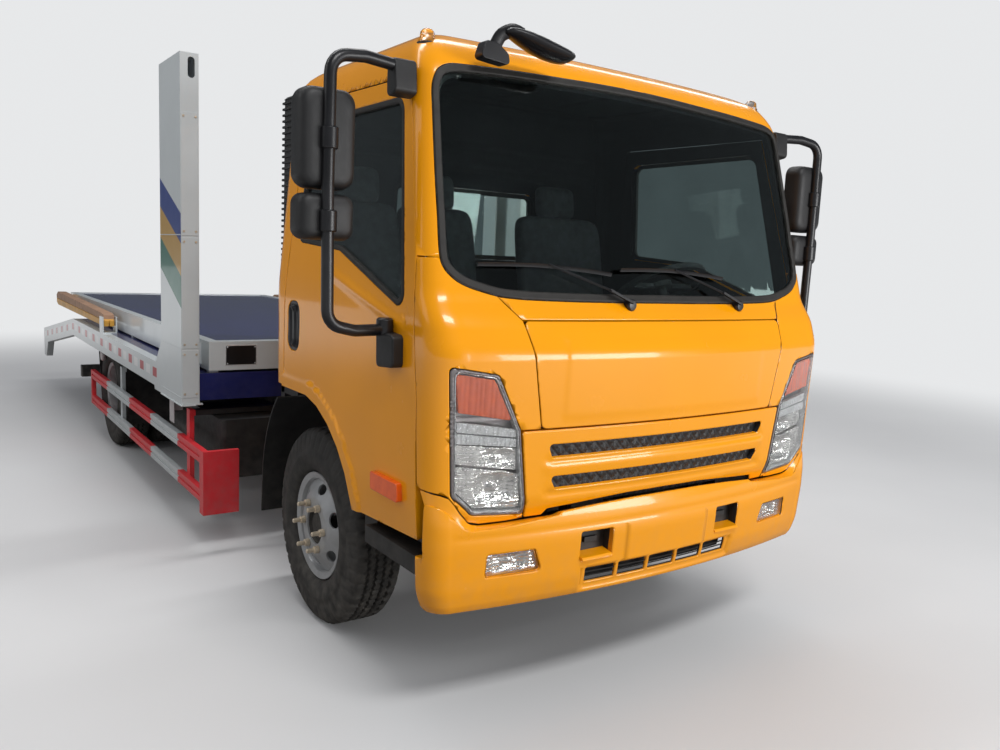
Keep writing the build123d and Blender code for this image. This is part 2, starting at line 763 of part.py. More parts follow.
# Lower grille: windows side by side, each with slots one above the other
vent_half_width = 385
vent_windows = 5
vent_bar = 20
vent_slots = (474, 489, 504)
vent_slot_height = 9
with BuildPart() as bumper:
    add(bumper_layer.part)
    with BuildPart(mode=Mode.PRIVATE) as plate_place:
        add(bumper_volume(-4))
        add(bumper_volume(1), mode=Mode.SUBTRACT)
        prism(front(-1000), plate_points, 400, Mode.INTERSECT)
    add(plate_place.part)
    for pocket in (fog_points, flipped(fog_points), tow_points, flipped(tow_points)):
        prism(front(-1000), pocket, 400, Mode.SUBTRACT, 0, 8)
    vent_pitch = 2 * vent_half_width / vent_windows
    for window in range(vent_windows):
        vent_x = (window + 0.5) * vent_pitch - vent_half_width
        vent_reach = (vent_pitch - vent_bar) / 2
        for slot_z in vent_slots:
            block((vent_x - vent_reach, vent_x + vent_reach), (-1300, -1050),
                  (slot_z - vent_slot_height / 2, slot_z + vent_slot_height / 2), Mode.SUBTRACT)
    # Brackets back to the cab
    for bracket_x in (-520, 490):
        block((bracket_x, bracket_x + 30), (-1165, bumper_rear_y - seat_gap), (690, 740))
save(bumper.part, "bumper")

# Lamps: headlamps, fog lamps and roof marker domes
with BuildPart() as cab_lamps:
    for lamp_points in (headlamp_points, flipped(headlamp_points)):
        add(skin_cut(skin, front(-600), lamp_points, front_reach))
    for pocket in (fog_points, flipped(fog_points)):
        with BuildPart(mode=Mode.PRIVATE) as fog_lamp:
            add(bumper_layer.part)
            prism(front(-1000), pocket, 400, Mode.INTERSECT, 0, 8)
        add(fog_lamp.part)
    for dome_x in (-850, 850):
        with BuildPart(mode=Mode.PRIVATE) as dome:
            rod_z(dome_x, -700, (2290, 2375), 38)
            add(cab_volume(-seat_gap), mode=Mode.SUBTRACT)
        add(dome.part)
save(cab_lamps.part, "cab_lamps")

# Dashboard with the steering column and wheel on the left
with BuildPart() as dashboard:
    dash_base = cab_floor_z + seat_gap
    prism(side(-900), [(-1120, dash_base), (-760, dash_base), (-640, 1300), (-720, 1450), (-1120, 1450)], 1800)
    add(cab_volume(cab_wall + seat_gap), mode=Mode.INTERSECT)
    wheel_plane = Plane(origin=(500, front_axle_y - 560, 1500), x_dir=(1, 0, 0), z_dir=(0, 0.5, 0.866))
    with BuildSketch(wheel_plane.offset(-180)) as column_disc:
        Circle(28)
    extrude(column_disc.sketch, amount=190)
    with BuildSketch(wheel_plane) as wheel_rim:
        Circle(215)
        Circle(190, mode=Mode.SUBTRACT)
        Rectangle(400, 34)
        Circle(55)
    extrude(wheel_rim.sketch, amount=24)
save(dashboard.part, "dashboard")

# Seats: one for the driver and a double one, drawn from the side
seat_cushion = [(-335, 1190), (190, 1190), (190, 1325), (-335, 1335)]
seat_back = [(60, 1250), (190, 1250), (300, 1830), (205, 1830)]
head_rest = [(215, 1815), (298, 1815), (315, 1990), (235, 1990)]
with BuildPart() as seats:
    for seat_x in ((-860, -60), (230, 760)):
        seat_width = seat_x[1] - seat_x[0]
        prism(side(seat_x[0]), [(-300, cab_floor_z), (190, cab_floor_z), (190, 1200), (-300, 1200)], seat_width)
        prism(side(seat_x[0]), seat_cushion, seat_width, Mode.ADD, 0, 35)
        prism(side(seat_x[0]), seat_back, seat_width, Mode.ADD, 0, 35)
    for rest_x in (-660, -260, 495):
        prism(side(rest_x - 110), head_rest, 220, Mode.ADD, 0, 25)
save(seats.part, "seats")

# Wipers: two arms with blades, lying just off the windscreen
with BuildPart() as wipers:
    wiper_plane = Plane(
        origin=(0, front_axle_y - 1045 - 22, 1480), x_dir=(1, 0, 0), z_dir=(0, -0.9717, 0.2365)
    )
    for pivot_x in (-180, 430):
        with BuildPart(mode=Mode.PRIVATE) as pivot:
            rod_y(pivot_x, (-1095, -1000), 1446, 12)
            add(cab_volume(-seat_gap), mode=Mode.SUBTRACT)
        add(pivot.part)
        prism(wiper_plane, [(pivot_x - 18, -30), (pivot_x + 18, -30), (pivot_x + 8, 10), (pivot_x - 400, 100),
                            (pivot_x - 405, 88), (pivot_x - 12, 0)], 10)
        prism(wiper_plane, [(pivot_x - 640, 78), (pivot_x - 640, 92), (pivot_x - 120, 108), (pivot_x - 120, 94)], 10)
save(wipers.part, "wipers")

# Blind-spot mirror above the windscreen
with BuildPart() as front_mirror:
    with BuildPart(mode=Mode.PRIVATE) as mirror_foot:
        block((-680, -600), (-860, -760), (2270, 2330))
        add(cab_volume(-seat_gap), mode=Mode.SUBTRACT)
    add(mirror_foot.part)
    prism(front(-840), [(-665, 2325), (-510, 2400), (-415, 2330), (-430, 2295), (-510, 2375), (-650, 2300)], 20)
    block((-560, -330), (-960, -850), (2255, 2300))
save(front_mirror.part, "front_mirror")

# Wheel arch liners and steps under the doors, fixed to the cab
with BuildPart() as arch_liners:
    for liner_x in ((470, 940), (-940, -470)):
        prism(side(liner_x[0]), [(-600, 560), (-600, 632), (-498, 632), (-498, 560)], liner_x[1] - liner_x[0])
    twin_block((600, 990), (-990, -600), (548, 612))
    twin_block((700, 760), (-900, -700), (612, 639.7))
save(arch_liners.part, "arch_liners")


arch_lip = 9
handle_depth = 14
# Raised band along the wheel arch, inside the door's outline
arch_band = [
    (-430, 672), (-395, 750), (-330, 822), (-244, 886), (-145, 932), (-45, 1014), (-60, 1068),
    (-190, 1022), (-306, 975), (-408, 900), (-470, 830), (-510, 740), (-530, 672),
]


def door():
    """Left door: full wall thickness, window cut, hinge knuckles and marker lamp."""
    with BuildPart() as piece:
        add(skin_cut(skin, side(800), door_points, 300))
        add(skin_cut(cab_layer(-arch_lip, 1), side(800), arch_band, 300))
        prism(side(700), underside, 400, Mode.SUBTRACT)
        prism(side(700), door_window, 400, Mode.SUBTRACT, 0, window_corner)
        add(skin_cut(cab_layer(-1, handle_depth), side(800), handle_points, 300, 0, 50), mode=Mode.SUBTRACT)
        block((985, 1008), (-895, -665), (760, 840))
        for hinge_z in hinge_levels:
            rod_z(hinge_x, hinge_y, (hinge_z - 20, hinge_z + 20), 10)
            block((1001, hinge_x), (hinge_y, hinge_y + 135), (hinge_z - 20, hinge_z + 20))
            block((985, 1003), (hinge_y + 105, hinge_y + 135), (hinge_z - 20, hinge_z + 20))
            rod_z(hinge_x, hinge_y, (hinge_z - 30, hinge_z + 30), 5 + pin_gap, Mode.SUBTRACT)
    return piece.part


def door_glass():
    """Pane in the left door."""
    with BuildPart() as piece:
        add(skin_cut(cab_layer(15, 20), side(800), door_window, 300, 0, window_corner))
    return piece.part


def door_mirror():
    """Left mirror: arm on the door's frame, with an upper and a lower head."""
    with BuildPart() as piece:
        with BuildPart(mode=Mode.PRIVATE) as feet:
            block((980, 1020), (-800, -740), (1330, 1390))
            block((900, 985), (-760, -700), (2140, 2190))
            add(cab_volume(-seat_gap), mode=Mode.SUBTRACT)
        add(feet.part)
        rod_x((1005, 1240), -755, 1372, 14)
        rod_z(1240, -755, (1358, 2189), 14)
        rod_x((950, 1240), -755, 2175, 14)
        for head_z in ((1800, 2110), (1640, 1780)):
            head = [(1125, head_z[0]), (1350, head_z[0]), (1350, head_z[1]), (1125, head_z[1])]
            prism(front(-690), head, 100, Mode.ADD, 0, 30)
    return piece.part


for door_side, flip in (("left", False), ("right", True)):
    door_pieces = {
        f"door_{door_side}": door(),
        f"door_glass_{door_side}": door_glass(),
        f"door_mirror_{door_side}": door_mirror(),
    }
    for piece_name, piece in door_pieces.items():
        save(mirrored(piece) if flip else piece, piece_name)

# Frame that tilts on the chassis and carries the sliding platform
with BuildPart() as tilt_frame:
    twin_block((rail_inner_x, rail_outer_x), (1440, 4945), (frame_top + seat_gap, 800))
    twin_block((rail_inner_x, rail_outer_x - 8), (1440, 4945), (frame_top + 8, 792), Mode.SUBTRACT)
    twin_block((rail_inner_x, rail_outer_x), (4945, frame_rear), (frame_top + 16, 800))
    for bar_y in (1480, 3040, 4300, 4930):
        block((-rail_outer_x + 8, rail_outer_x - 8), (bar_y - 40, bar_y + 40), (frame_top + 16, 790))
    twin_block((432, 448), (tilt_pivot_y - 40, tilt_pivot_y + 40), (620, 800))
    twin_block((rail_outer_x - 8, 448), (tilt_pivot_y - 40, tilt_pivot_y + 40), (frame_top + 16, 800))
    twin_rod_x((430, 450), tilt_pivot_y, tilt_pivot_z, 20 + pin_gap, Mode.SUBTRACT)
    for lug_x in (-cylinder_x, cylinder_x):
        for lug_side in (-45, 30):
            block((lug_x + lug_side, lug_x + lug_side + 15), (eye_y - 35, 3000), (730, 790))
        rod_x((lug_x - 45, lug_x + 45), eye_y, eye_z, 14)
save(tilt_frame.part, "tilt_frame")

# Two tilt cylinders and their rods
ram_angle = atan2(eye_z - barrel_z, eye_y - barrel_y)
ram_reach = hypot(eye_z - barrel_z, eye_y - barrel_y)


def along_ram(x, distance):
    """Plane across the tilt cylinder at a distance from its lower pin."""
    return Plane(
        origin=(
            x,
            front_axle_y + barrel_y + distance * cos(ram_angle),
            barrel_z + distance * sin(ram_angle),
        ),
        x_dir=(1, 0, 0),
        z_dir=(0, cos(ram_angle), sin(ram_angle)),
    )


def ram_section(x, start, end, radius, mode=Mode.ADD):
    """Round stretch of the tilt cylinder between two distances."""
    with BuildSketch(along_ram(x, start)) as disc:
        Circle(radius)
    extrude(disc.sketch, amount=end - start, mode=mode)


with BuildPart() as tilt_barrels:
    for ram_x in (-cylinder_x, cylinder_x):
        ram_section(ram_x, 55, barrel_length, barrel_radius)
        ram_section(ram_x, 10, 56, 22)
        rod_x((ram_x - 25, ram_x + 25), barrel_y, barrel_z, 30)
        rod_x((ram_x - 26, ram_x + 26), barrel_y, barrel_z, 14 + pin_gap, Mode.SUBTRACT)
        ram_section(ram_x, 380, barrel_length + 1, ram_radius + pin_gap, Mode.SUBTRACT)
save(tilt_barrels.part, "tilt_barrels")

with BuildPart() as tilt_rams:
    for ram_x in (-cylinder_x, cylinder_x):
        ram_section(ram_x, 450, ram_reach - 30, ram_radius)
        rod_x((ram_x - 22, ram_x + 22), eye_y, eye_z, 45)
        rod_x((ram_x - 23, ram_x + 23), eye_y, eye_z, 27, Mode.SUBTRACT)
save(tilt_rams.part, "tilt_rams")

# Sliding platform: lower deck with its beams and ribs
column_rear = column_front + column_depth
column_inner_x = width / 2 - column_width
rail_inside = width / 2 - rail_thickness
beam_bottom = 800 + seat_gap
deck_bottom = deck_top - deck_thickness
with BuildPart() as lower_deck:
    deck_edge = rail_inside - seat_gap
    notch = column_inner_x - seat_gap
    with BuildSketch(plan(deck_bottom)) as deck_outline:
        with BuildLine() as edge:
            Polyline(
                (-notch, platform_front), (notch, platform_front), (notch, column_rear + 5),
                (deck_edge, column_rear + 5), (deck_edge, bend_y), (-deck_edge, bend_y),
                (-deck_edge, column_rear + 5), (-notch, column_rear + 5), close=True,
            )
        make_face(edge.edges())
    extrude(deck_outline.sketch, amount=deck_thickness)
    prism(
        side(-deck_edge),
        [(bend_y - 1, deck_top), (tail_end, deck_top - tail_drop),
         (tail_end, deck_bottom - tail_drop), (bend_y - 1, deck_bottom)],
        2 * deck_edge,
    )
    for beam_x in (-415, 365):
        prism(
            side(beam_x),
            [(1400, deck_bottom + 1), (bend_y, deck_bottom + 1), (tail_end - 20, deck_bottom + 1 - tail_drop),
             (tail_end - 20, deck_bottom - tail_drop - 90), (frame_rear + 5, beam_bottom), (1400, beam_bottom)],
            50,
        )
    for rib in range(8):
        rib_y = 1850 + rib * 420
        block((-deck_edge, deck_edge), (rib_y, rib_y + 40), (852, deck_bottom + 1))
    for rib in range(4):
        rib_y = 5350 + rib * 460
        rib_z = deck_bottom - (rib_y + 40 - bend_y) * tail_drop / 2000
        block((-deck_edge, deck_edge), (rib_y, rib_y + 40), (rib_z - 60, rib_z + 1))
    prism(
        front(1400),
        [(-notch, deck_bottom + 1), (notch, deck_bottom + 1), (notch, 762), (455, 762), (455, 806),
         (-455, 806), (-455, 762), (-notch, 762)],
        1400 - platform_front,
    )
save(lower_deck.part, "lower_deck")

# Outer rails with the tail's side plates and the brackets of the support arms
with BuildPart() as side_rails:
    for rail_x in (-width / 2, rail_inside):
        prism(
            side(rail_x),
            [(column_rear + seat_gap, 1050), (column_rear + 140, deck_top), (bend_y, deck_top),
             (tail_end, deck_top - tail_drop), (tail_end, tail_plate_bottom), (6840, tail_plate_bottom),
             (6700, 525), (bend_y, side_rail_bottom), (1950, side_rail_bottom), (1940, column_base),
             (column_rear + seat_gap, column_base)],
            rail_thickness,
        )
    for bracket in ((1046, 1055), (1141, 1150)):
        twin_block(bracket, (arm_pivot_y - 60, arm_pivot_y + 60), (deck_top + seat_gap, 1040))
    twin_block((1046, 1150), (arm_pivot_y - 60, arm_pivot_y + 60), (deck_top + seat_gap, 922))
    twin_block((1092, 1148), (arm_pivot_y - 60, arm_pivot_y + 60), (905, 915))
    twin_rod_x((1046, 1150), arm_pivot_y, arm_pivot_z, 15)
save(side_rails.part, "side_rails")

# Front columns: box sections with a guide slot on the inner face, and a step
# in the lower inner corner that clears the rear tyres when the platform is back
step_x = rear_outer_tyre_x + tyre_width / 2 + 10
step_y = 1545
step_top = 2 * tyre_radius + 15
column_wall = 8
column_outer_x = width / 2
with BuildPart() as columns:
    twin_block((column_inner_x, column_outer_x), (column_front, column_rear), (750, column_top))
    twin_block((column_inner_x - 15, column_outer_x), (column_front - 10, column_rear), (column_base, 750))
    twin_block((column_inner_x - 20, step_x), (step_y, column_rear + 1), (column_base - 1, step_top), Mode.SUBTRACT)
    for cavity_x, cavity_z in ((step_x, 760), (column_inner_x, step_top)):
        twin_block(
            (cavity_x + column_wall, column_outer_x - column_wall),
            (column_front + column_wall, column_rear - column_wall),
            (cavity_z + (column_wall if cavity_x < step_x else 0), column_top - column_wall),
            Mode.SUBTRACT,
        )
    twin_block((column_inner_x - 1, column_inner_x + 9), (1480, 1620), (930, 2480), Mode.SUBTRACT)
    # Round-ended slot in the front face, near the top
    for slot_way in (-1, 1):
        slot = [(slot_way * x, z) for x, z in ((1074, 2465), (1110, 2465), (1110, 2570), (1074, 2570))]
        prism(front(column_front + column_wall + 1), slot, column_wall + 2, Mode.SUBTRACT, 0, 17)
save(columns.part, "columns")

# Upper deck: white frame with guide shoes in the columns
with BuildPart() as upper_deck_frame:
    upper_top = upper_bottom + upper_height
    block((-upper_half_width, upper_half_width), (platform_front, upper_rear), (upper_bottom, upper_top))
    block((-940, 940), (1420, upper_rear - upper_rim), (upper_bottom - 1, upper_top + 1), Mode.SUBTRACT)
    for rib in range(8):
        rib_y = 1900 + rib * 540
        block((-941, 941), (rib_y, rib_y + 50), (1000, 1070))
    twin_block((upper_half_width - 1, column_inner_x - 5), (1490, 1610), (945, 1065))
    twin_block((upper_half_width - 1, column_inner_x + 50), (1500, 1600), (955, 1055))
    for pad_y in (1360, 3300, 4900):
        twin_block((945, 995), (pad_y, pad_y + 50), (deck_top + seat_gap, upper_bottom + 1))
save(upper_deck_frame.part, "upper_deck_frame")

with BuildPart() as upper_deck_plate:
    plate_y = (1420 + seat_gap, upper_rear - upper_rim - seat_gap)
    block((-940 + seat_gap, 940 - seat_gap), plate_y, (1070 + seat_gap, 1078))
save(upper_deck_plate.part, "upper_deck_plate")


arm_end = arm_pivot_y + arm_length + 40


def support_arm():
    """Left arm that swings up under the upper deck's side, with its end roller."""
    with BuildPart() as piece:
        prism(
            side(1060),
            [(arm_pivot_y - 38, 972), (arm_end - 90, 980), (arm_end, 1000), (arm_end, 1060), (arm_end - 90, 1090),
             (arm_pivot_y + 50, 1045), (arm_pivot_y - 38, 1040)],
            76,
        )
        rod_x((1059, 1137), arm_pivot_y, arm_pivot_z, 15 + pin_gap, Mode.SUBTRACT)
        rod_x((upper_half_width + 6, 1061), arm_pivot_y + arm_length, 1035, 35)
    return piece.part


save(support_arm(), "support_arm_left")
save(mirrored(support_arm()), "support_arm_right")
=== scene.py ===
"""Looks of the two-deck car carrier truck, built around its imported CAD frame.

Lengths in the tables are millimetres with y counted from the front axle, as in the part's source.
Everything is turned into metres in the row frame just before a mesh is made.
"""
import json
import math

import bmesh
import bpy
import numpy as np
from mathutils import Matrix, Vector
from mathutils.geometry import delaunay_2d_cdt


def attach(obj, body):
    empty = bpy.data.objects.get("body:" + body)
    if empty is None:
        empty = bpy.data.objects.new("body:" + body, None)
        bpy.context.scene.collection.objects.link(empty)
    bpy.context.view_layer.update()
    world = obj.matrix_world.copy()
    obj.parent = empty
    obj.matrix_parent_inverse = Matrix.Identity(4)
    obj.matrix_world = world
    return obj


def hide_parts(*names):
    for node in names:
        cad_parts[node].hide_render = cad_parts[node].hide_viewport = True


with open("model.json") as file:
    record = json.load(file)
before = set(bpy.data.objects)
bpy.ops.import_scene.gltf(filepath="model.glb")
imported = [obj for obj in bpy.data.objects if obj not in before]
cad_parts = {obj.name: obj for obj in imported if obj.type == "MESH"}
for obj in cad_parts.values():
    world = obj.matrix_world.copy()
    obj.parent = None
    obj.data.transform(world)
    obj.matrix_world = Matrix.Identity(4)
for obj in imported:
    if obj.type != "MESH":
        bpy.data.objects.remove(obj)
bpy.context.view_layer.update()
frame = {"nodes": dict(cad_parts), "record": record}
nodes = frame["nodes"]

AXLE_Y = -2900.0
AXLE_Z = 425.0
WHEELBASE = 3850.0


# Materials

def new_material(name):
    material = bpy.data.materials.new(name)
    material.use_nodes = True
    tree = material.node_tree
    shader = tree.nodes["Principled BSDF"]
    return material, tree, shader


def node(tree, kind, **values):
    made = tree.nodes.new(kind)
    for key, value in values.items():
        if key.startswith("in_"):
            made.inputs[int(key[3:])].default_value = value
        else:
            setattr(made, key, value)
    return made


def object_place(tree):
    return node(tree, "ShaderNodeTexCoord").outputs["Object"]


def noise(tree, place, scale, detail=3.0, stretch=None):
    if stretch:
        mapping = node(tree, "ShaderNodeMapping")
        mapping.inputs["Scale"].default_value = stretch
        tree.links.new(place, mapping.inputs["Vector"])
        place = mapping.outputs["Vector"]
    made = node(tree, "ShaderNodeTexNoise")
    made.inputs["Scale"].default_value = scale
    made.inputs["Detail"].default_value = detail
    tree.links.new(place, made.inputs["Vector"])
    return made.outputs["Fac"]


def ramp(tree, value, stops, constant=False):
    made = node(tree, "ShaderNodeValToRGB")
    bar = made.color_ramp
    bar.interpolation = "CONSTANT" if constant else "LINEAR"
    while len(bar.elements) < len(stops):
        bar.elements.new(0.5)
    for element, (place, colour) in zip(bar.elements, stops):
        element.position = place
        element.color = (*colour, 1.0) if len(colour) == 3 else colour
    tree.links.new(value, made.inputs["Fac"])
    return made.outputs["Color"]


def mix(tree, factor, first, second, mode="MIX"):
    made = node(tree, "ShaderNodeMix", data_type="RGBA", blend_type=mode)
    for socket, value in ((made.inputs[0], factor), (made.inputs[6], first), (made.inputs[7], second)):
        if isinstance(value, (int, float)):
            socket.default_value = value
        elif isinstance(value, tuple):
            socket.default_value = (*value, 1.0)
        else:
            tree.links.new(value, socket)
    return made.outputs[2]


def math_node(tree, operation, first, second=None, clamp=False):
    made = node(tree, "ShaderNodeMath", operation=operation, use_clamp=clamp)
    for socket, value in zip(made.inputs, (first, second)):
        if value is None:
            continue
        if isinstance(value, (int, float)):
            socket.default_value = value
        else:
            tree.links.new(value, socket)
    return made.outputs[0]


def bump(tree, shader, height, strength, distance, normal=None):
    made = node(tree, "ShaderNodeBump")
    made.inputs["Strength"].default_value = strength
    made.inputs["Distance"].default_value = distance
    tree.links.new(height, made.inputs["Height"])
    if normal is not None:
        tree.links.new(normal, made.inputs["Normal"])
    tree.links.new(made.outputs["Normal"], shader.inputs["Normal"])
    return made.outputs["Normal"]


DUST = (0.30, 0.27, 0.23)


def surface(name, colour, rough=(0.3, 0.45), metal=0.0, coat=0.0, variation=0.08, scale=6.0,
            grain=0.0, grain_scale=300.0, dust=0.0, dust_top=0.8, bevel=0.0, pattern=None):
    """A finish with broad colour variation, uneven gloss, fine grain and dust towards the floor."""
    material, tree, shader = new_material(name)
    place = object_place(tree)
    broad = noise(tree, place, scale, 4.0)
    base = pattern(tree, place) if pattern else None
    low = tuple(c * (1 - variation) for c in colour)
    high = tuple(min(1.0, c * (1 + variation)) for c in colour)
    tone = ramp(tree, broad, [(0.3, low), (0.7, high)])
    if base is not None:
        grey = ramp(tree, broad, [(0.3, (1 - variation,) * 3), (0.7, (1.0,) * 3)])
        tone = mix(tree, 1.0, base, grey, "MULTIPLY")
    if dust:
        height = node(tree, "ShaderNodeSeparateXYZ")
        tree.links.new(place, height.inputs[0])
        fade = node(tree, "ShaderNodeMapRange")
        fade.inputs["From Min"].default_value = dust_top
        fade.inputs["From Max"].default_value = 0.0
        fade.inputs["To Max"].default_value = dust
        tree.links.new(height.outputs["Z"], fade.inputs["Value"])
        spots = ramp(tree, noise(tree, place, 22.0, 6.0), [(0.35, (0.2,) * 3), (0.7, (1.0,) * 3)])
        amount = math_node(tree, "MULTIPLY", fade.outputs["Result"], spots)
        tone = mix(tree, amount, tone, DUST)
    tree.links.new(tone, shader.inputs["Base Color"])
    shine = node(tree, "ShaderNodeMapRange")
    shine.inputs["To Min"].default_value = rough[0]
    shine.inputs["To Max"].default_value = rough[1]
    tree.links.new(noise(tree, place, scale * 3.1, 5.0), shine.inputs["Value"])
    tree.links.new(shine.outputs["Result"], shader.inputs["Roughness"])
    shader.inputs["Metallic"].default_value = metal
    shader.inputs["Coat Weight"].default_value = coat
    shader.inputs["Coat Roughness"].default_value = 0.06
    edge = None
    if bevel:
        rounded_edge = node(tree, "ShaderNodeBevel", samples=4)
        rounded_edge.inputs["Radius"].default_value = bevel
        edge = rounded_edge.outputs["Normal"]
        tree.links.new(edge, shader.inputs["Normal"])
    if grain:
        bump(tree, shader, noise(tree, place, grain_scale, 2.0), grain, 0.0006, edge)
    return material


def banded(stops, axis="Y", slope=0.0, low=-4.0, high=4.0):
    """Colour bands at given places along an axis, in metres; slope adds a share of Y to the coordinate."""
    def pattern(tree, place):
        split = node(tree, "ShaderNodeSeparateXYZ")
        tree.links.new(place, split.inputs[0])
        value = split.outputs[axis]
        if slope:
            lean = math_node(tree, "MULTIPLY", split.outputs["Y"], slope)
            value = math_node(tree, "ADD", value, lean)
        scaled = node(tree, "ShaderNodeMapRange")
        scaled.inputs["From Min"].default_value = low
        scaled.inputs["From Max"].default_value = high
        tree.links.new(value, scaled.inputs["Value"])
        return ramp(tree, scaled.outputs["Result"],
                    [((at - low) / (high - low), colour) for at, colour in stops], constant=True)
    return pattern


def outer_only(pattern, base, x=1.149):
    """A pattern kept to the outer faces of the platform, with the base colour elsewhere."""
    def made(tree, place):
        split = node(tree, "ShaderNodeSeparateXYZ")
        tree.links.new(place, split.inputs[0])
        outside = math_node(tree, "GREATER_THAN", math_node(tree, "ABSOLUTE", split.outputs["X"]), x)
        return mix(tree, outside, base, pattern(tree, place))
    return made


TAIL_START, TAIL_SLOPE = 5.0, 0.1325          # metres behind the front axle, drop for each metre
SQUARE_LEVEL, SQUARE_HALF = 0.845, 0.028      # height of the row of squares and half its width
SQUARE_FIRST, SQUARE_PITCH = 1.89, 0.34       # place of the first square and their spacing


def stickers(tree, place):
    """Red and white reflective squares along the outer rails and down the tail."""
    split = node(tree, "ShaderNodeSeparateXYZ")
    tree.links.new(place, split.inputs[0])
    along = math_node(tree, "ADD", split.outputs["Y"], 2.9)
    past = math_node(tree, "MAXIMUM", math_node(tree, "SUBTRACT", along, TAIL_START), 0.0)
    drop = math_node(tree, "MULTIPLY", past, TAIL_SLOPE)
    level = math_node(tree, "ADD", split.outputs["Z"], drop)
    off_row = math_node(tree, "ABSOLUTE", math_node(tree, "SUBTRACT", level, SQUARE_LEVEL))
    in_band = math_node(tree, "LESS_THAN", off_row, SQUARE_HALF)
    after_column = math_node(tree, "GREATER_THAN", along, 1.88)
    share = math_node(tree, "FRACT", math_node(tree, "DIVIDE", math_node(tree, "SUBTRACT", along, SQUARE_FIRST),
                                                SQUARE_PITCH))
    red = math_node(tree, "LESS_THAN", share, 0.30)
    white = math_node(tree, "LESS_THAN", math_node(tree, "ABSOLUTE", math_node(tree, "SUBTRACT", share, 0.65)), 0.15)
    shown = math_node(tree, "MULTIPLY", in_band, after_column)
    toned = mix(tree, math_node(tree, "MULTIPLY", red, shown), WHITE, (0.50, 0.035, 0.05))
    return mix(tree, math_node(tree, "MULTIPLY", white, shown), toned, (0.84, 0.84, 0.84))


def glass(name, tint, rough=0.02):
    """Clear glass with a faint film of dust."""
    material, tree, shader = new_material(name)
    place = object_place(tree)
    film = ramp(tree, noise(tree, place, 5.0, 5.0), [(0.35, tint), (0.75, tuple(min(1, c * 1.12) for c in tint))])
    tree.links.new(film, shader.inputs["Base Color"])
    shader.inputs["Roughness"].default_value = rough
    shader.inputs["Transmission Weight"].default_value = 1.0
    shader.inputs["IOR"].default_value = 1.45
    return material


YELLOW = (0.93, 0.352, 0.002)
WHITE = (0.66, 0.70, 0.71)
RED = (0.86, 0.03, 0.045)
BLUE = (0.018, 0.022, 0.13)

cab_paint = surface("cab_paint_coat", YELLOW, (0.22, 0.30), coat=1.0, variation=0.035, scale=2.0,
                    grain=0.05, grain_scale=180.0, dust=0.25, dust_top=0.75)


def own_normal(tree):
    """The face's normal in the piece's own frame, which a moved joint doesn't turn."""
    turned = node(tree, "ShaderNodeVectorTransform", vector_type="NORMAL", convert_from="WORLD", convert_to="OBJECT")
    tree.links.new(node(tree, "ShaderNodeNewGeometry").outputs["True Normal"], turned.inputs["Vector"])
    return turned.outputs["Vector"]


def line_inside(material, middle=(0.0, -3.2, 0.0), tone=(0.020, 0.021, 0.023)):
    """Walls that look towards the middle of the cab, and its ceiling, get a dark, dull lining."""
    tree = material.node_tree
    shader = tree.nodes["Principled BSDF"]
    place = object_place(tree)
    towards = node(tree, "ShaderNodeVectorMath", operation="SUBTRACT")
    tree.links.new(place, towards.inputs[0])
    towards.inputs[1].default_value = middle
    level = node(tree, "ShaderNodeVectorMath", operation="MULTIPLY")
    tree.links.new(towards.outputs["Vector"], level.inputs[0])
    level.inputs[1].default_value = (1.0, 1.0, 0.0)
    straight = node(tree, "ShaderNodeVectorMath", operation="NORMALIZE")
    tree.links.new(level.outputs["Vector"], straight.inputs[0])
    normal = own_normal(tree)
    facing = node(tree, "ShaderNodeVectorMath", operation="DOT_PRODUCT")
    tree.links.new(straight.outputs["Vector"], facing.inputs[0])
    tree.links.new(normal, facing.inputs[1])
    walls = math_node(tree, "LESS_THAN", facing.outputs["Value"], -0.2)
    height, slope = node(tree, "ShaderNodeSeparateXYZ"), node(tree, "ShaderNodeSeparateXYZ")
    tree.links.new(place, height.inputs[0])
    tree.links.new(normal, slope.inputs[0])
    ceiling = math_node(tree, "MULTIPLY", math_node(tree, "GREATER_THAN", height.outputs["Z"], 2.15),
                        math_node(tree, "LESS_THAN", slope.outputs["Z"], -0.25))
    lined = math_node(tree, "MAXIMUM", walls, ceiling)
    colour = shader.inputs["Base Color"].links[0].from_socket
    tree.links.new(mix(tree, lined, colour, tone), shader.inputs["Base Color"])
    gloss = shader.inputs["Roughness"].links[0].from_socket
    dull = math_node(tree, "MAXIMUM", gloss, math_node(tree, "MULTIPLY", lined, 0.8))
    tree.links.new(dull, shader.inputs["Roughness"])
    clear = math_node(tree, "MULTIPLY", math_node(tree, "SUBTRACT", 1.0, lined), 0.55)
    tree.links.new(clear, shader.inputs["Coat Weight"])
    shader.inputs["Specular IOR Level"].default_value = 0.3


line_inside(cab_paint)
black_plastic = surface("black_plastic_moulded", (0.014, 0.014, 0.015), (0.42, 0.6), variation=0.3, scale=9.0,
                        grain=0.35, grain_scale=900.0, dust=0.25, dust_top=0.9)
gloss_black = surface("black_mirror_plastic", (0.01, 0.01, 0.012), (0.28, 0.4), variation=0.3, scale=9.0,
                      grain=0.15, grain_scale=700.0)
seal_rubber = surface("seal_rubber", (0.02, 0.018, 0.016), (0.55, 0.7), variation=0.25, scale=20.0,
                      grain=0.2, grain_scale=500.0)
chassis_paint = surface("chassis_black_paint", (0.018, 0.018, 0.02), (0.35, 0.6), variation=0.3, scale=7.0,
                        grain=0.2, grain_scale=250.0, dust=0.6, dust_top=1.0, bevel=0.003)
cast_metal = surface("cast_dark_metal", (0.035, 0.034, 0.034), (0.5, 0.75), metal=0.4, variation=0.3, scale=12.0,
                     grain=0.6, grain_scale=220.0, dust=0.5, dust_top=1.2)
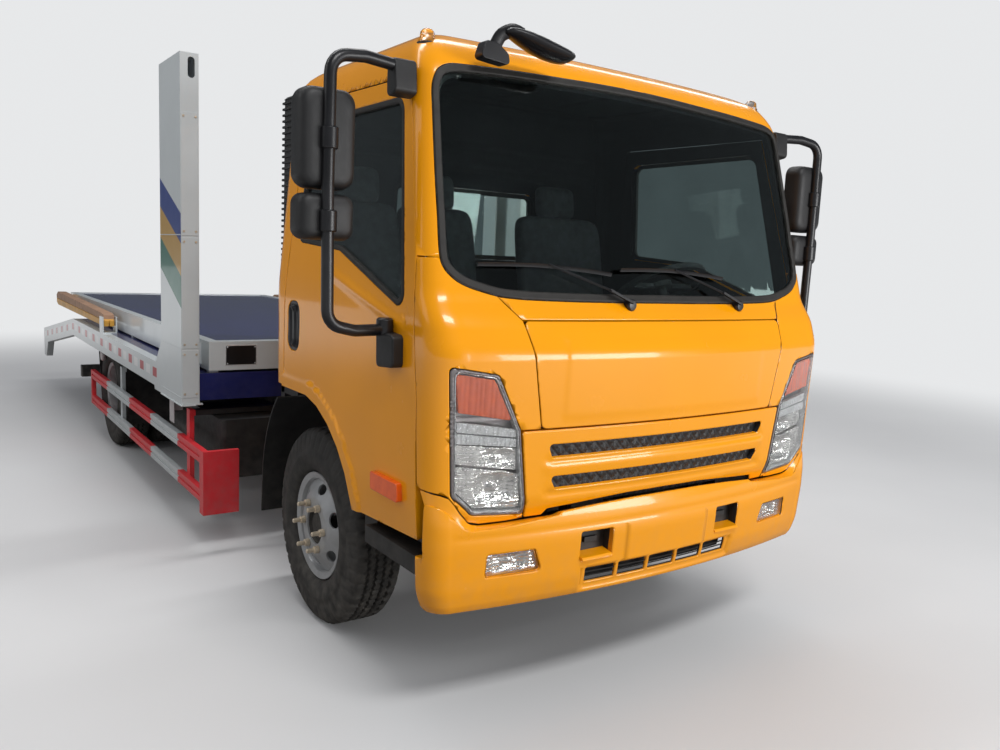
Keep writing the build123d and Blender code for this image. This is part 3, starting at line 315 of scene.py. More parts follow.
steel_grey = surface("heat_stained_steel", (0.20, 0.17, 0.15), (0.35, 0.6), metal=0.8, variation=0.3, scale=9.0,
                     grain=0.3, grain_scale=260.0, dust=0.4, dust_top=1.0)
tank_paint = surface("tank_paint", (0.05, 0.052, 0.055), (0.3, 0.5), variation=0.2, scale=6.0,
                     grain=0.15, grain_scale=250.0, dust=0.55, dust_top=0.9, bevel=0.004)
tyre_rubber = surface("tyre_tread_rubber", (0.022, 0.021, 0.020), (0.62, 0.82), variation=0.3, scale=14.0,
                      grain=0.5, grain_scale=420.0, dust=0.30, dust_top=0.95)
rim_silver = surface("rim_silver_paint", (0.44, 0.45, 0.46), (0.32, 0.48), metal=0.35, variation=0.12, scale=18.0,
                     grain=0.15, grain_scale=350.0, dust=0.35, dust_top=1.0)
bolt_steel = surface("zinc_bolt_steel", (0.78, 0.66, 0.50), (0.25, 0.4), metal=0.5, variation=0.2, scale=60.0,
                     grain=0.2, grain_scale=800.0)
chrome_rod = surface("rod_chrome", (0.62, 0.63, 0.65), (0.08, 0.16), metal=1.0, variation=0.05, scale=20.0)
lamp_chrome = surface("lamp_reflector", (0.90, 0.89, 0.87), (0.08, 0.2), metal=0.75, variation=0.12, scale=40.0,
                      grain=0.9, grain_scale=110.0)


def add_facets(material, scale, distance):
    """Small prism facets over a lamp part."""
    tree = material.node_tree
    shader = tree.nodes["Principled BSDF"]
    cells = node(tree, "ShaderNodeTexVoronoi", feature="F1", distance="CHEBYCHEV")
    cells.inputs["Scale"].default_value = scale
    cells.inputs["Randomness"].default_value = 0.35
    tree.links.new(object_place(tree), cells.inputs["Vector"])
    before = shader.inputs["Normal"].links[0].from_socket
    bump(tree, shader, cells.outputs["Distance"], 0.9, distance, before)


add_facets(lamp_chrome, 75.0, 0.006)
bed_blue = surface("bed_blue_paint", BLUE, (0.16, 0.3), coat=0.6, variation=0.22, scale=5.0,
                   grain=0.12, grain_scale=160.0, dust=0.12, dust_top=1.2, bevel=0.003)
rail_white = surface("rail_white_paint", WHITE, (0.25, 0.4), coat=0.4, variation=0.05, scale=4.0,
                     grain=0.08, grain_scale=180.0, dust=0.3, dust_top=1.0, bevel=0.003,
                     pattern=outer_only(stickers, WHITE))
bed_white = surface("bed_white_paint", WHITE, (0.25, 0.4), coat=0.4, variation=0.05, scale=4.0,
                    grain=0.08, grain_scale=180.0, dust=0.3, dust_top=1.0, bevel=0.003)
arm_yellow = surface("arm_yellow_paint", (0.66, 0.34, 0.05), (0.35, 0.55), variation=0.15, scale=12.0,
                     grain=0.15, grain_scale=300.0, bevel=0.003)
dash_plastic = surface("dash_plastic_grained", (0.035, 0.036, 0.038), (0.5, 0.7), variation=0.15, scale=10.0,
                       grain=0.5, grain_scale=1200.0)
clear_glass = glass("window_glass_clear", (0.66, 0.76, 0.74))
lamp_glass = glass("lamp_cover_clear", (0.97, 0.98, 0.98), 0.03)
amber_glass = surface("amber_lens", (1.0, 0.12, 0.006), (0.12, 0.25), coat=0.8, variation=0.15, scale=30.0,
                      grain=0.4, grain_scale=240.0)
red_lens = surface("red_lens", (0.6, 0.01, 0.012), (0.12, 0.25), coat=0.8, variation=0.15, scale=30.0,
                   grain=0.4, grain_scale=240.0)


def dark_inside(pattern, x=1.052, y=-1.82):
    """The pattern on the outer parts only; hangers further in are painted black."""
    def made(tree, place):
        split = node(tree, "ShaderNodeSeparateXYZ")
        tree.links.new(place, split.inputs[0])
        outer = math_node(tree, "GREATER_THAN", math_node(tree, "ABSOLUTE", split.outputs["X"]), x)
        front = math_node(tree, "LESS_THAN", split.outputs["Y"], y)
        return mix(tree, math_node(tree, "MAXIMUM", outer, front), (0.02, 0.02, 0.022), pattern(tree, place))
    return made


guard_stops = [(-4.0, RED), (-1.37, WHITE), (-0.70, RED), (-0.07, WHITE), (0.72, RED)]
guard_paint = surface("guard_red_white_paint", RED, (0.3, 0.45), coat=0.3, variation=0.12, scale=9.0,
                      grain=0.1, grain_scale=220.0, dust=0.3, dust_top=0.8, bevel=0.004,
                      pattern=dark_inside(banded(guard_stops)))
GREEN = (0.02, 0.16, 0.11)
OCHRE = (0.55, 0.32, 0.07)
BAND_BLUE = (0.03, 0.06, 0.26)
band_stops = [(0.0, WHITE), (2.00, GREEN), (2.17, OCHRE), (2.33, BAND_BLUE), (2.50, WHITE)]
column_white = surface("column_white_paint", WHITE, (0.25, 0.4), coat=0.4, variation=0.05, scale=4.0,
                       grain=0.08, grain_scale=180.0, dust=0.2, dust_top=1.0, bevel=0.003,
                       pattern=outer_only(banded(band_stops, "Z", -0.465, 0.0, 4.0), WHITE))
fabric = surface("seat_fabric_dark", (0.075, 0.078, 0.085), (0.75, 0.95), variation=0.2, scale=30.0,
                 grain=0.8, grain_scale=1500.0)
mirror_glass = surface("mirror_silvering", (0.70, 0.72, 0.74), (0.01, 0.03), metal=1.0, variation=0.02, scale=4.0)
tan_top = surface("arm_tan_pad", (0.42, 0.25, 0.16), (0.5, 0.75), variation=0.2, scale=14.0,
                  grain=0.3, grain_scale=300.0)

SLOT_FINISH = {
    "cab_paint": cab_paint, "chassis_paint": chassis_paint, "engine_grey": cast_metal, "tank_steel": tank_paint,
    "black_plastic": black_plastic, "exhaust_steel": steel_grey, "guard_paint": guard_paint,
    "cast_metal": cast_metal, "tyre_rubber": tyre_rubber, "rim_paint": rim_silver, "glass": clear_glass,
    "lamp_lens": lamp_glass, "dash_plastic": dash_plastic, "bed_blue": bed_blue, "bed_white": bed_white,
    "chrome_rod": chrome_rod, "arm_yellow": arm_yellow, "seat_fabric": fabric,
}
NODE_FINISH = {"side_rails": rail_white, "columns": column_white}
for part in frame["record"]["subparts"]:
    finish = NODE_FINISH.get(part["node"]) or SLOT_FINISH.get(part["material_slot"])
    cad_object = nodes[part["node"]]
    if finish:
        cad_object.data.materials.clear()
        cad_object.data.materials.append(finish)


# Mesh helpers

def metres(points):
    out = np.array(points, float) * 0.001
    out[..., 1] += AXLE_Y * 0.001
    return out


def finish_piece(obj, body, material=None, replaced=()):
    if material:
        obj.data.materials.clear()
        obj.data.materials.append(material)
    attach(obj, body)
    if replaced:
        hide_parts(*replaced)
    return obj


def mesh_object(name, verts, faces, normals=None, smooth=True):
    """verts in millimetres from the front axle."""
    mesh = bpy.data.meshes.new(name)
    mesh.from_pydata([tuple(v) for v in metres(verts)], [], [tuple(int(i) for i in f) for f in faces])
    mesh.update()
    if smooth:
        mesh.shade_smooth()
    if normals is not None:
        mesh.normals_split_custom_set_from_vertices([tuple(n) for n in normals])
    obj = bpy.data.objects.new(name, mesh)
    bpy.context.scene.collection.objects.link(obj)
    return obj


def rounded(points, radii, step=8.0):
    """Closed outline with its corners rounded; radii is one number or one per corner."""
    points = [np.array(p, float) for p in points]
    count = len(points)
    radii = [radii] * count if isinstance(radii, (int, float)) else list(radii)
    out = []
    for i, corner in enumerate(points):
        before, after = points[i - 1], points[(i + 1) % count]
        a, b = before - corner, after - corner
        la, lb = np.linalg.norm(a), np.linalg.norm(b)
        a, b = a / la, b / lb
        half = math.acos(max(-1.0, min(1.0, float(a @ b)))) / 2
        radius = radii[i]
        if radius <= 0 or half > math.radians(88):
            out.append(corner)
            continue
        cut = min(radius / math.tan(half), 0.48 * la, 0.48 * lb)
        radius = cut * math.tan(half)
        middle = corner + (a + b) / np.linalg.norm(a + b) * radius / math.sin(half)
        start, end = corner + a * cut, corner + b * cut
        first = math.atan2(*(start - middle)[::-1])
        sweep = math.atan2(*(end - middle)[::-1]) - first
        sweep = (sweep + math.pi) % (2 * math.pi) - math.pi
        steps = max(2, int(abs(sweep) * radius / step) + 1)
        for k in range(steps + 1):
            angle = first + sweep * k / steps
            out.append(middle + radius * np.array([math.cos(angle), math.sin(angle)]))
    return out


def resample(loop, step):
    out = []
    for i, point in enumerate(loop):
        following = np.array(loop[(i + 1) % len(loop)], float)
        point = np.array(point, float)
        pieces = max(1, int(np.linalg.norm(following - point) / step))
        for k in range(pieces):
            out.append(point + (following - point) * k / pieces)
    return np.array(out)


def smooth_loop(points, step=14.0):
    """Closed smooth curve through points."""
    points = np.array(points, float)
    count = len(points)
    out = []
    for i in range(count):
        before, start, end, after = (points[(i + k) % count] for k in (-1, 0, 1, 2))
        span = np.linalg.norm(end - start)
        first = (end - before) * span / (np.linalg.norm(start - before) + span)
        last = (after - start) * span / (np.linalg.norm(after - end) + span)
        pieces = max(1, int(span / step))
        for k in range(pieces):
            t = k / pieces
            a, b = 2 * t**3 - 3 * t**2 + 1, t**3 - 2 * t**2 + t
            c, d = 3 * t**2 - 2 * t**3, t**3 - t**2
            out.append(tuple(a * start + b * first + c * end + d * last))
    return out


def inside(points, loops):
    """Even-odd test of many points against several loops."""
    result = np.zeros(len(points), bool)
    x, y = points[:, 0], points[:, 1]
    for loop in loops:
        a, b = loop, np.roll(loop, -1, axis=0)
        for (ax, ay), (bx, by) in zip(a, b):
            if ay == by:
                continue
            crosses = ((ay > y) != (by > y)) & (x < (bx - ax) * (y - ay) / (by - ay) + ax)
            result ^= crosses
    return result


def edge_distance(points, loops):
    """Distance to the nearest boundary and the unit direction towards it."""
    best = np.full(len(points), 1e9)
    towards = np.zeros((len(points), 2))
    for loop in loops:
        a, b = loop, np.roll(loop, -1, axis=0)
        for start, end in zip(a, b):
            run = end - start
            t = np.clip(((points - start) @ run) / max(run @ run, 1e-9), 0, 1)
            offset = start + t[:, None] * run - points
            d = np.hypot(offset[:, 0], offset[:, 1])
            nearer = d < best
            best[nearer] = d[nearer]
            towards[nearer] = offset[nearer] / np.maximum(d[nearer], 1e-6)[:, None]
    return best, towards


def triangulate(loops, step, ring_depths):
    """Triangles over an outline with holes: (points, triangles, indices of each loop)."""
    loops = [resample(loop, step) for loop in loops]
    points = [np.concatenate(loops)]
    for depth in ring_depths:
        for loop in loops:
            before, after = np.roll(loop, 1, axis=0), np.roll(loop, -1, axis=0)
            run = after - before
            run = run / np.maximum(np.hypot(run[:, 0], run[:, 1]), 1e-9)[:, None]
            side = np.stack([-run[:, 1], run[:, 0]], axis=1)
            for way in (-1, 1):
                points.append(loop + side * depth * way)
    low, high = loops[0].min(0), loops[0].max(0)
    xs = np.arange(low[0] + step * 0.5, high[0], step)
    ys = np.arange(low[1] + step * 0.5, high[1], step)
    grid = np.stack(np.meshgrid(xs, ys), axis=-1).reshape(-1, 2)
    boundary = points[0]
    rings = np.concatenate(points[1:]) if len(points) > 1 else np.zeros((0, 2))
    kept = []
    if len(rings):
        rings = rings[inside(rings, loops)]
        d, _ = edge_distance(rings, loops)
        depths = np.array(ring_depths)
        rings = rings[np.abs(d[:, None] - depths[None, :]).min(1) < 0.2 * depths.min()]
        kept.append(rings)
    grid = grid[inside(grid, loops)]
    d, _ = edge_distance(grid, loops)
    kept.append(grid[d > (max(ring_depths) if ring_depths else 0) + 0.45 * step])
    extra = np.concatenate(kept)
    points = np.concatenate([boundary, extra])
    edges, start = [], 0
    for loop in loops:
        count = len(loop)
        edges += [(start + i, start + (i + 1) % count) for i in range(count)]
        start += count
    verts, _, faces, source, _, _ = delaunay_2d_cdt([Vector(p) for p in points], edges, [], 0, 0.01)
    verts = np.array([tuple(v) for v in verts])
    faces = np.array([f for f in faces if len(f) == 3])
    centres = verts[faces].mean(1)
    faces = faces[inside(centres, loops)]
    a, b, c = verts[faces[:, 0]], verts[faces[:, 1]], verts[faces[:, 2]]
    area = (b[:, 0] - a[:, 0]) * (c[:, 1] - a[:, 1]) - (b[:, 1] - a[:, 1]) * (c[:, 0] - a[:, 0])
    faces = faces[np.abs(area) > 1e-4]
    area = area[np.abs(area) > 1e-4]
    faces[area < 0] = faces[area < 0][:, ::-1]
    return verts, faces, loops


def unit(v):
    return v / np.maximum(np.linalg.norm(v, axis=-1, keepdims=True), 1e-9)


def panel(name, loops, place, thickness, step=22.0, edge=4.0, relief=None, offset=0.0):
    """Sheet over a curved surface. place(uv) gives points in mm; relief(uv) lifts them along the normal."""
    depths = [edge * 0.35, edge] if edge else []
    uv, faces, loops = triangulate(loops, step, depths)

    def normal_of(at, base):
        h = 0.8
        du = base(at + [h, 0]) - base(at - [h, 0])
        dv = base(at + [0, h]) - base(at - [0, h])
        return unit(np.cross(du, dv))

    def lifted(at):
        p = place(at)
        lift = offset + (relief(at) if relief else 0.0)
        if np.any(lift):
            p = p + normal_of(at, place) * np.reshape(lift, (-1, 1))
        return p

    top = lifted(uv)
    normals = normal_of(uv, lifted)
    du = unit(place(uv + [1.0, 0]) - place(uv - [1.0, 0]))
    dv = unit(place(uv + [0, 1.0]) - place(uv - [0, 1.0]))
    d, towards = edge_distance(uv, loops)
    outward = unit(du * towards[:, :1] + dv * towards[:, 1:])
    if edge:
        near = np.clip((edge - d) / edge, 0, 1)
        near = np.where(d < 0.02, 0.97, near)
        top = top - normals * (edge * (1 - np.sqrt(1 - near**2)))[:, None]
        lean = normals * np.sqrt(1 - near**2)[:, None] + outward * near[:, None]
        shade = unit(lean)
    else:
        shade = normals
    bottom = place(uv) + normal_of(uv, place) * (offset - thickness)
    count = len(uv)
    verts, shades, all_faces = [top, bottom], [shade, -normals], [faces, faces[:, ::-1] + count]
    edges = {}
    for f in faces:
        for a, b in ((f[0], f[1]), (f[1], f[2]), (f[2], f[0])):
            edges[(a, b)] = edges.get((a, b), 0) + 1
    rim = [(a, b) for a, b in edges if (b, a) not in edges]
    rim_points = sorted({i for pair in rim for i in pair})
    index = {p: 2 * count + k for k, p in enumerate(rim_points)}
    size = len(rim_points)
    wall_out = {}
    for a, b in rim:
        run = top[b] - top[a]
        out = np.cross(run, normals[a])
        for i in (a, b):
            wall_out[i] = wall_out.get(i, 0) + out
    rim_normals = unit(np.array([wall_out[i] for i in rim_points]))
    verts += [top[rim_points], bottom[rim_points]]
    shades += [rim_normals, rim_normals]
    walls = []
    for a, b in rim:
        walls.append((index[b], index[a], index[a] + size, index[b] + size))
    everything = [tuple(f) for block in all_faces for f in block] + walls
    return mesh_object(name, np.concatenate(verts), everything, np.concatenate(shades))


# Cab surface, unrolled: u runs round the cab from the middle of the front, w runs up the sides and over the roof

# (w, height, front at the middle, corner drop, half width, rear, corner radius)
CAB_ROWS = np.array([
    (560, 560, -1060, 40, 985, 370, 60),
    (640, 640, -1075, 40, 985, 370, 60),
    (790, 790, -1148, 66, 995, 370, 96),
    (1030, 1030, -1162, 74, 1000, 370, 102),
    (1300, 1300, -1176, 78, 1000, 370, 102),
    (1400, 1400, -1122, 62, 998, 370, 88),
    (1480, 1480, -1045, 45, 992, 370, 80),
    (2240, 2240, -860, 40, 925, 360, 75),
    (2340, 2330, -790, 40, 890, 330, 75),
    (2450, 2385, -680, 40, 800, 240, 75),
    (2600, 2390, -540, 36, 660, 130, 70),
], float)
U_FRONT, U_CORNER, U_SIDE, U_BACK, U_REAR = 915.0, 1045.0, 2340.0, 2440.0, 3280.0


def row_fields(w, rows, reach):
    """The rows' columns at w, with their creases softened over a reach."""
    total = 0
    offsets = np.linspace(-1, 1, 7)
    for offset in offsets:
        total = total + np.stack([np.interp(w + offset * reach, rows[:, 0], rows[:, k]) for k in range(1, 7)])
    return total / len(offsets)


def cab_fields(w):
    """Height, front, drop, half width, rear and corner radius of the cab at w."""
    return row_fields(w, CAB_ROWS, np.clip((w - 2150) / 4 + 22, 22, 38))


CAB_STATIONS = (U_FRONT, U_CORNER, U_SIDE, U_BACK, U_REAR)


def plan_outline(u, nose, drop, half, rear, turn, stations=CAB_STATIONS):
    """Plan position round a body: bowed front, round corner, straight side, round corner, straight back."""
    u_front, u_corner, u_side, u_back, u_rear = stations
    side = np.sign(u)
    u = np.abs(u)
    span = half - turn
    bow = (span**2 + drop**2) / (2 * drop)
    front_x = np.minimum(u / u_front, 1) * span
    front_y = nose + bow - np.sqrt(np.maximum(bow**2 - front_x**2, 1))
    a = np.clip((u - u_front) / (u_corner - u_front), 0, 1) * math.pi / 2
    corner_x = span + turn * np.sin(a)
    corner_y = nose + drop + turn * (1 - np.cos(a))
    t = np.clip((u - u_corner) / (u_side - u_corner), 0, 1)
    side_y = (nose + drop + turn) * (1 - t) + (rear - turn) * t
    b = np.clip((u - u_side) / (u_back - u_side), 0, 1) * math.pi / 2
    back_x = span + turn * np.cos(b)
    back_y = rear - turn + turn * np.sin(b)
    r = np.clip((u - u_back) / (u_rear - u_back), 0, 2)
    places = [u <= u_front, u <= u_corner, u <= u_side, u <= u_back]
    x = np.select(places, [front_x, corner_x, half, back_x], span * (1 - r))
    y = np.select(places, [front_y, corner_y, side_y, back_y], rear)
    return x * np.where(side < 0, -1, 1), y


def cab_place(uw):
    """Points of the cab's skin in mm."""
    uw = np.asarray(uw, float)
    z, nose, drop, half, rear, turn = cab_fields(uw[:, 1])
    x = y = 0
    for offset in (-12, 0, 12):
        px, py = plan_outline(uw[:, 0] + offset, nose, drop, half, rear, turn)
        x, y = x + px / 3, y + py / 3
    return np.stack([x, y, z], axis=1)


def cab_point(kind, a, z):
    """Unrolled point for ("f", x, z) seen from the front, ("s", y, z) seen from the side, or ("u", u, w)."""
    if kind == "u":
        return (a, z)
    height, nose, drop, half, rear, turn = cab_fields(np.array([float(z)]))[:, 0]
    span = half - turn
    if kind == "f":
        side, x = math.copysign(1, a), abs(a)
        if x <= span:
            return (side * U_FRONT * x / span, z)
        angle = math.asin(min(1.0, (x - span) / turn))
        return (side * (U_FRONT + (U_CORNER - U_FRONT) * angle / (math.pi / 2)), z)
    start, end = nose + drop + turn, rear - turn
    if a < start:
        angle = math.acos(min(1.0, (start - a) / turn))
        return (U_FRONT + (U_CORNER - U_FRONT) * angle / (math.pi / 2), z)
    if a > end:
        angle = math.asin(min(1.0, (a - end) / turn))
        return (U_SIDE + (U_BACK - U_SIDE) * angle / (math.pi / 2), z)
    return (U_CORNER + (U_SIDE - U_CORNER) * (a - start) / (end - start), z)


def cab_outline(points, radii=0, step=60.0):
    """Outline on the unrolled cab from tagged points, with long runs divided so that they follow their view."""
    flat = []
    count = len(points)
    radii = [radii] * count if isinstance(radii, (int, float)) else radii
    kinds = [p[0] for p in points]
    for view in ("f", "s", "u"):
        if all(k == view for k in kinds):
            loop = rounded([p[1:] for p in points], radii)
            loop = resample(loop, step)
            return [cab_point(view, *p) for p in loop]
    for i, point in enumerate(points):
        following = points[(i + 1) % count]
        flat.append(cab_point(*point))
        if point[0] == following[0]:
            a, b = np.array(point[1:], float), np.array(following[1:], float)
            pieces = max(1, int(np.linalg.norm(b - a) / step))
            flat += [cab_point(point[0], *(a + (b - a) * k / pieces)) for k in range(1, pieces)]
    return rounded(flat, [r for r in radii] if len(flat) == count else 0)


def flip(loop):
    return [(-u, w) for u, w in loop][::-1]


# Seams, as seen from the side (y, z) or the front (x, z)
ARCH = [(-492, 560), (-485, 660), (-440, 770), (-371, 856), (-280, 930), (-171, 985), (-60, 1012)]
SCREEN_HALF = [(0, 1467), (240, 1467), (484, 1469), (702, 1477), (805, 1498), (866, 1518), (906, 1543), (935, 1575),
               (946, 1616), (951, 1728), (957, 1853), (961, 1967), (965, 2107), (966, 2150), (960, 2185),
               (940, 2222), (905, 2243), (860, 2251), (654, 2262), (402, 2270), (200, 2276), (0, 2279)]
windscreen_hole = smooth_loop(SCREEN_HALF + [(-u, w) for u, w in SCREEN_HALF[-2:0:-1]])

door_edge = [("s", -977, 667), ("s", -965, 1140), ("s", -900, 1620), ("s", -738, 2200), ("s", 150, 2215),
             ("s", 215, 1500), ("s", 215, 1012)] + [("s", y, z) for y, z in ARCH[::-1][:-1]] + [("s", -492, 640)]
door_loop = rounded(cab_outline(door_edge), 0)
WINDOW = [(-864, 1414), (-300, 1611), (120, 1640), (105, 2140), (-704, 2140)]
window_hole = cab_outline([("s", *p) for p in WINDOW], [40, 60, 50, 60, 70])


def arch_lift(uw):
    """Raised lip round the wheel arch and the shallow sweep above it."""
    arch = np.array([cab_point("s", y, z) for y, z in ARCH + [(450, 1012)]])
    at = np.stack([np.abs(uw[:, 0]), uw[:, 1]], axis=1)
    best = np.full(len(at), 1e9)
    for start, end in zip(arch[:-1], arch[1:]):
        run = end - start
        t = np.clip(((at - start) @ run) / (run @ run), 0, 1)
        best = np.minimum(best, np.linalg.norm(start + t[:, None] * run - at, axis=1))
    lip = np.clip((66 - best) / 14, 0, 1)
    return 11 * lip * lip * (3 - 2 * lip)


HANDLE = cab_outline([("s", 45, 1180), ("s", 175, 1180), ("s", 175, 1392), ("s", 45, 1392)], 52)


def door_lift(uw):
    lift = arch_lift(uw)
    at = np.stack([np.abs(uw[:, 0]), uw[:, 1]], axis=1)
    crease = cab_point("s", -860, 1400), cab_point("s", -250, 1560)
    a, b = np.array(crease[0]), np.array(crease[1])
    run = unit(b - a)
    across = (at - a) @ np.array([-run[1], run[0]])
    along = np.clip((at - a) @ run, 0, np.linalg.norm(b - a))
    reach = np.linalg.norm(at - (a + along[:, None] * run), axis=1)
    return lift + np.where(across < 0, 5 * np.exp(-((reach - 34) / 21.0) ** 2), 0)


for side_name, turn_over in (("left", lambda loop: loop), ("right", flip)):
    door_skin = panel(f"door_skin_{side_name}", [turn_over(door_loop), turn_over(window_hole), turn_over(HANDLE)],
                      cab_place, 38, 16, 3.5, door_lift)
    finish_piece(door_skin, f"door_{side_name}", cab_paint, [f"door_{side_name}"])

class Shape:
    """Several simple forms gathered into one mesh, in millimetres."""

    def __init__(self):
        self.verts, self.faces = [], []

    def add(self, verts, faces):
        start = len(self.verts)
        self.verts += [tuple(v) for v in verts]
        self.faces += [tuple(start + i for i in f) for f in faces]
        return self

    def box(self, x, y, z):
        corners = [(a, b, c) for a in x for b in y for c in z]
        return self.add(corners, [(0, 1, 3, 2), (4, 6, 7, 5), (0, 4, 5, 1), (2, 3, 7, 6), (0, 2, 6, 4), (1, 5, 7, 3)])

    def twin_box(self, x, y, z):
        return self.box(x, y, z).box((-x[1], -x[0]), y, z)

    def prism(self, loop, axis, low, high):
        """Outline across an axis: (y, z) for x, (x, z) for y, (x, y) for z."""
        loop = [tuple(p) for p in loop]
        area = sum(a[0] * b[1] - b[0] * a[1] for a, b in zip(loop, loop[1:] + loop[:1]))
        if (area > 0) == (axis == "y"):
            loop = loop[::-1]

        def at(p, level):
            return {"x": (level, p[0], p[1]), "y": (p[0], level, p[1]), "z": (p[0], p[1], level)}[axis]

        count = len(loop)
        verts = [at(p, low) for p in loop] + [at(p, high) for p in loop]
        sides = [(i, (i + 1) % count, (i + 1) % count + count, i + count) for i in range(count)]
        return self.add(verts, [tuple(range(count))[::-1], tuple(range(count, 2 * count))] + sides)

    def sweep(self, path, outline, closed=False, up=(0, 0, 1)):
        """Outline (across, up) carried along a path of points."""
        path = np.array(path, float)
        count, sides = len(path), len(outline)
        if closed:
            run = unit(np.roll(path, -1, 0) - np.roll(path, 1, 0))
        else:
            run = unit(np.gradient(path, axis=0))
        verts = []
        over = np.array(up, float)
        for point, along in zip(path, run):
            across = np.cross(along, over)
            if np.linalg.norm(across) < 1e-3:
                across = np.cross(along, (1.0, 0, 0))
            across = unit(across)
            over = unit(np.cross(across, along))
            verts += [point + across * a + over * b for a, b in outline]
        faces = []
        for i in range(count if closed else count - 1):
            j = (i + 1) % count
            for k in range(sides):
                m = (k + 1) % sides
                faces.append((i * sides + k, i * sides + m, j * sides + m, j * sides + k))
        if not closed:
            faces += [tuple(range(sides))[::-1], tuple((count - 1) * sides + k for k in range(sides))]
        return self.add(verts, faces)

    def tube(self, path, radius, sides=14, closed=False):
        ring = [(radius * math.cos(2 * math.pi * k / sides), radius * math.sin(2 * math.pi * k / sides))
                for k in range(sides)]
        return self.sweep(path, ring, closed)

    def lathe(self, section, centre, axis="x", segments=48, way=1):
        """Closed (along, radius) section turned round an axis; a radius of 0 closes the middle."""
        verts, faces = [], []
        count = len(section)
        for s in range(segments):
            a = 2 * math.pi * s / segments
            for along, radius in section:
                c, d, along = radius * math.cos(a), radius * math.sin(a), along * way
                offset = {"x": (along, d, c), "y": (c, along, d), "z": (c, d, along)}[axis]
                verts.append(tuple(centre[i] + offset[i] for i in range(3)))
        for s in range(segments):
            t = (s + 1) % segments
            for k in range(count):
                m = (k + 1) % count
                quad = (s * count + k, t * count + k, t * count + m, s * count + m)
                if section[k][1] == 0 and section[m][1] == 0:
                    continue
                if section[k][1] == 0:
                    quad = (quad[0], quad[2], quad[3])
                elif section[m][1] == 0:
                    quad = (quad[0], quad[1], quad[2])
                faces.append(quad)
        return self.add(verts, faces)

    def flipped(self):
        other = Shape()
        other.verts = [(-x, y, z) for x, y, z in self.verts]
        other.faces = [f[::-1] for f in self.faces]
        return other

    def piece(self, name, body, slot, material, replaced=(), bevel=0.0, segments=2, angle=35):
        obj = mesh_object(name, self.verts, self.faces)
        mesh = obj.data
        work = bmesh.new()
        work.from_mesh(mesh)
        bmesh.ops.remove_doubles(work, verts=work.verts, dist=1e-6)
        bmesh.ops.recalc_face_normals(work, faces=work.faces)
        work.to_mesh(mesh)
        work.free()
        mesh.shade_smooth()
        mesh.set_sharp_from_angle(angle=math.radians(angle))
        if bevel:
            round_edges = obj.modifiers.new("edges", "BEVEL")
            round_edges.width = bevel * 0.001
            round_edges.segments = segments
            round_edges.limit_method = "ANGLE"
            round_edges.angle_limit = math.radians(30)
            round_edges.harden_normals = True
        return finish_piece(obj, body, material, replaced)


def bend(points, radius, step=12.0):
    """Path through points with its corners rounded."""
    points = [np.array(p, float) for p in points]
    out = [points[0]]
    for before, corner, after in zip(points, points[1:], points[2:]):
        a, b = before - corner, after - corner
        la, lb = np.linalg.norm(a), np.linalg.norm(b)
        a, b = a / la, b / lb
        half = math.acos(max(-1.0, min(1.0, float(a @ b)))) / 2
        cut = min(radius / math.tan(half), 0.45 * la, 0.45 * lb)
        r = cut * math.tan(half)
        middle = corner + unit(a + b) * r / math.sin(half)
        start, end = corner + a * cut - middle, corner + b * cut - middle
        turn = math.acos(max(-1.0, min(1.0, float(start @ end) / r**2)))
        steps = max(3, int(turn * r / step))
        for k in range(steps + 1):
            t = k / steps
            out.append(middle + (start * math.sin((1 - t) * turn) + end * math.sin(t * turn)) / math.sin(turn))
    out.append(points[-1])
    return out


# Cab skins

def shrink(loop, amount):
    """Loop set in by an amount, for convex or gently curved outlines."""
    loop = np.array(loop, float)
    area = np.sum(loop[:, 0] * np.roll(loop[:, 1], -1) - np.roll(loop[:, 0], -1) * loop[:, 1])
    run = unit(np.roll(loop, -1, 0) - loop)
    before = np.roll(run, 1, 0)
    bisect = unit(run + before)
    inward = np.stack([-bisect[:, 1], bisect[:, 0]], 1) * math.copysign(1, area)
    spread = np.maximum(np.sum(bisect * run, 1), 0.5)
    return loop + inward * (amount / spread)[:, None]


def edge_points(kind, pairs, step=40.0):
    """Points of an open run on the unrolled cab, given in one view."""
    out = []
    for a, b in zip(pairs, pairs[1:]):
        a, b = np.array(a, float), np.array(b, float)
        pieces = max(1, int(np.linalg.norm(b - a) / step))
        out += [cab_point(kind, *(a + (b - a) * k / pieces)) for k in range(pieces)]
    return out + [cab_point(kind, *pairs[-1])]


def run_of(loop, start, end):
    """Part of a closed loop between the points nearest to start and end, taken the shorter way."""
    loop = resample(loop, 30.0)
    i = int(np.argmin(np.linalg.norm(loop - np.array(start), axis=1)))
    j = int(np.argmin(np.linalg.norm(loop - np.array(end), axis=1)))
    count = len(loop)
    onward = [(i + k) % count for k in range((j - i) % count + 1)]
    back = [(i - k) % count for k in range((i - j) % count + 1)]
    chosen = onward if len(onward) <= len(back) else back
    return [tuple(loop[k]) for k in chosen]


def both_sides(function):
    for name, turn_over in (("left", lambda loop: loop), ("right", flip)):
        function(name, turn_over)


def run_through(loop, stops):
    """Part of a closed loop that passes near each stop in turn."""
    out = []
    for start, end in zip(stops, stops[1:]):
        out += run_of(loop, start, end)
    return out


def tidy(loop, least=2.0):
    """Loop without points that nearly coincide."""
    out = []
    for p in loop:
        if not out or math.dist(p, out[-1]) > least:
            out.append(tuple(p))
    while math.dist(out[0], out[-1]) < least:
        out.pop()
    return out


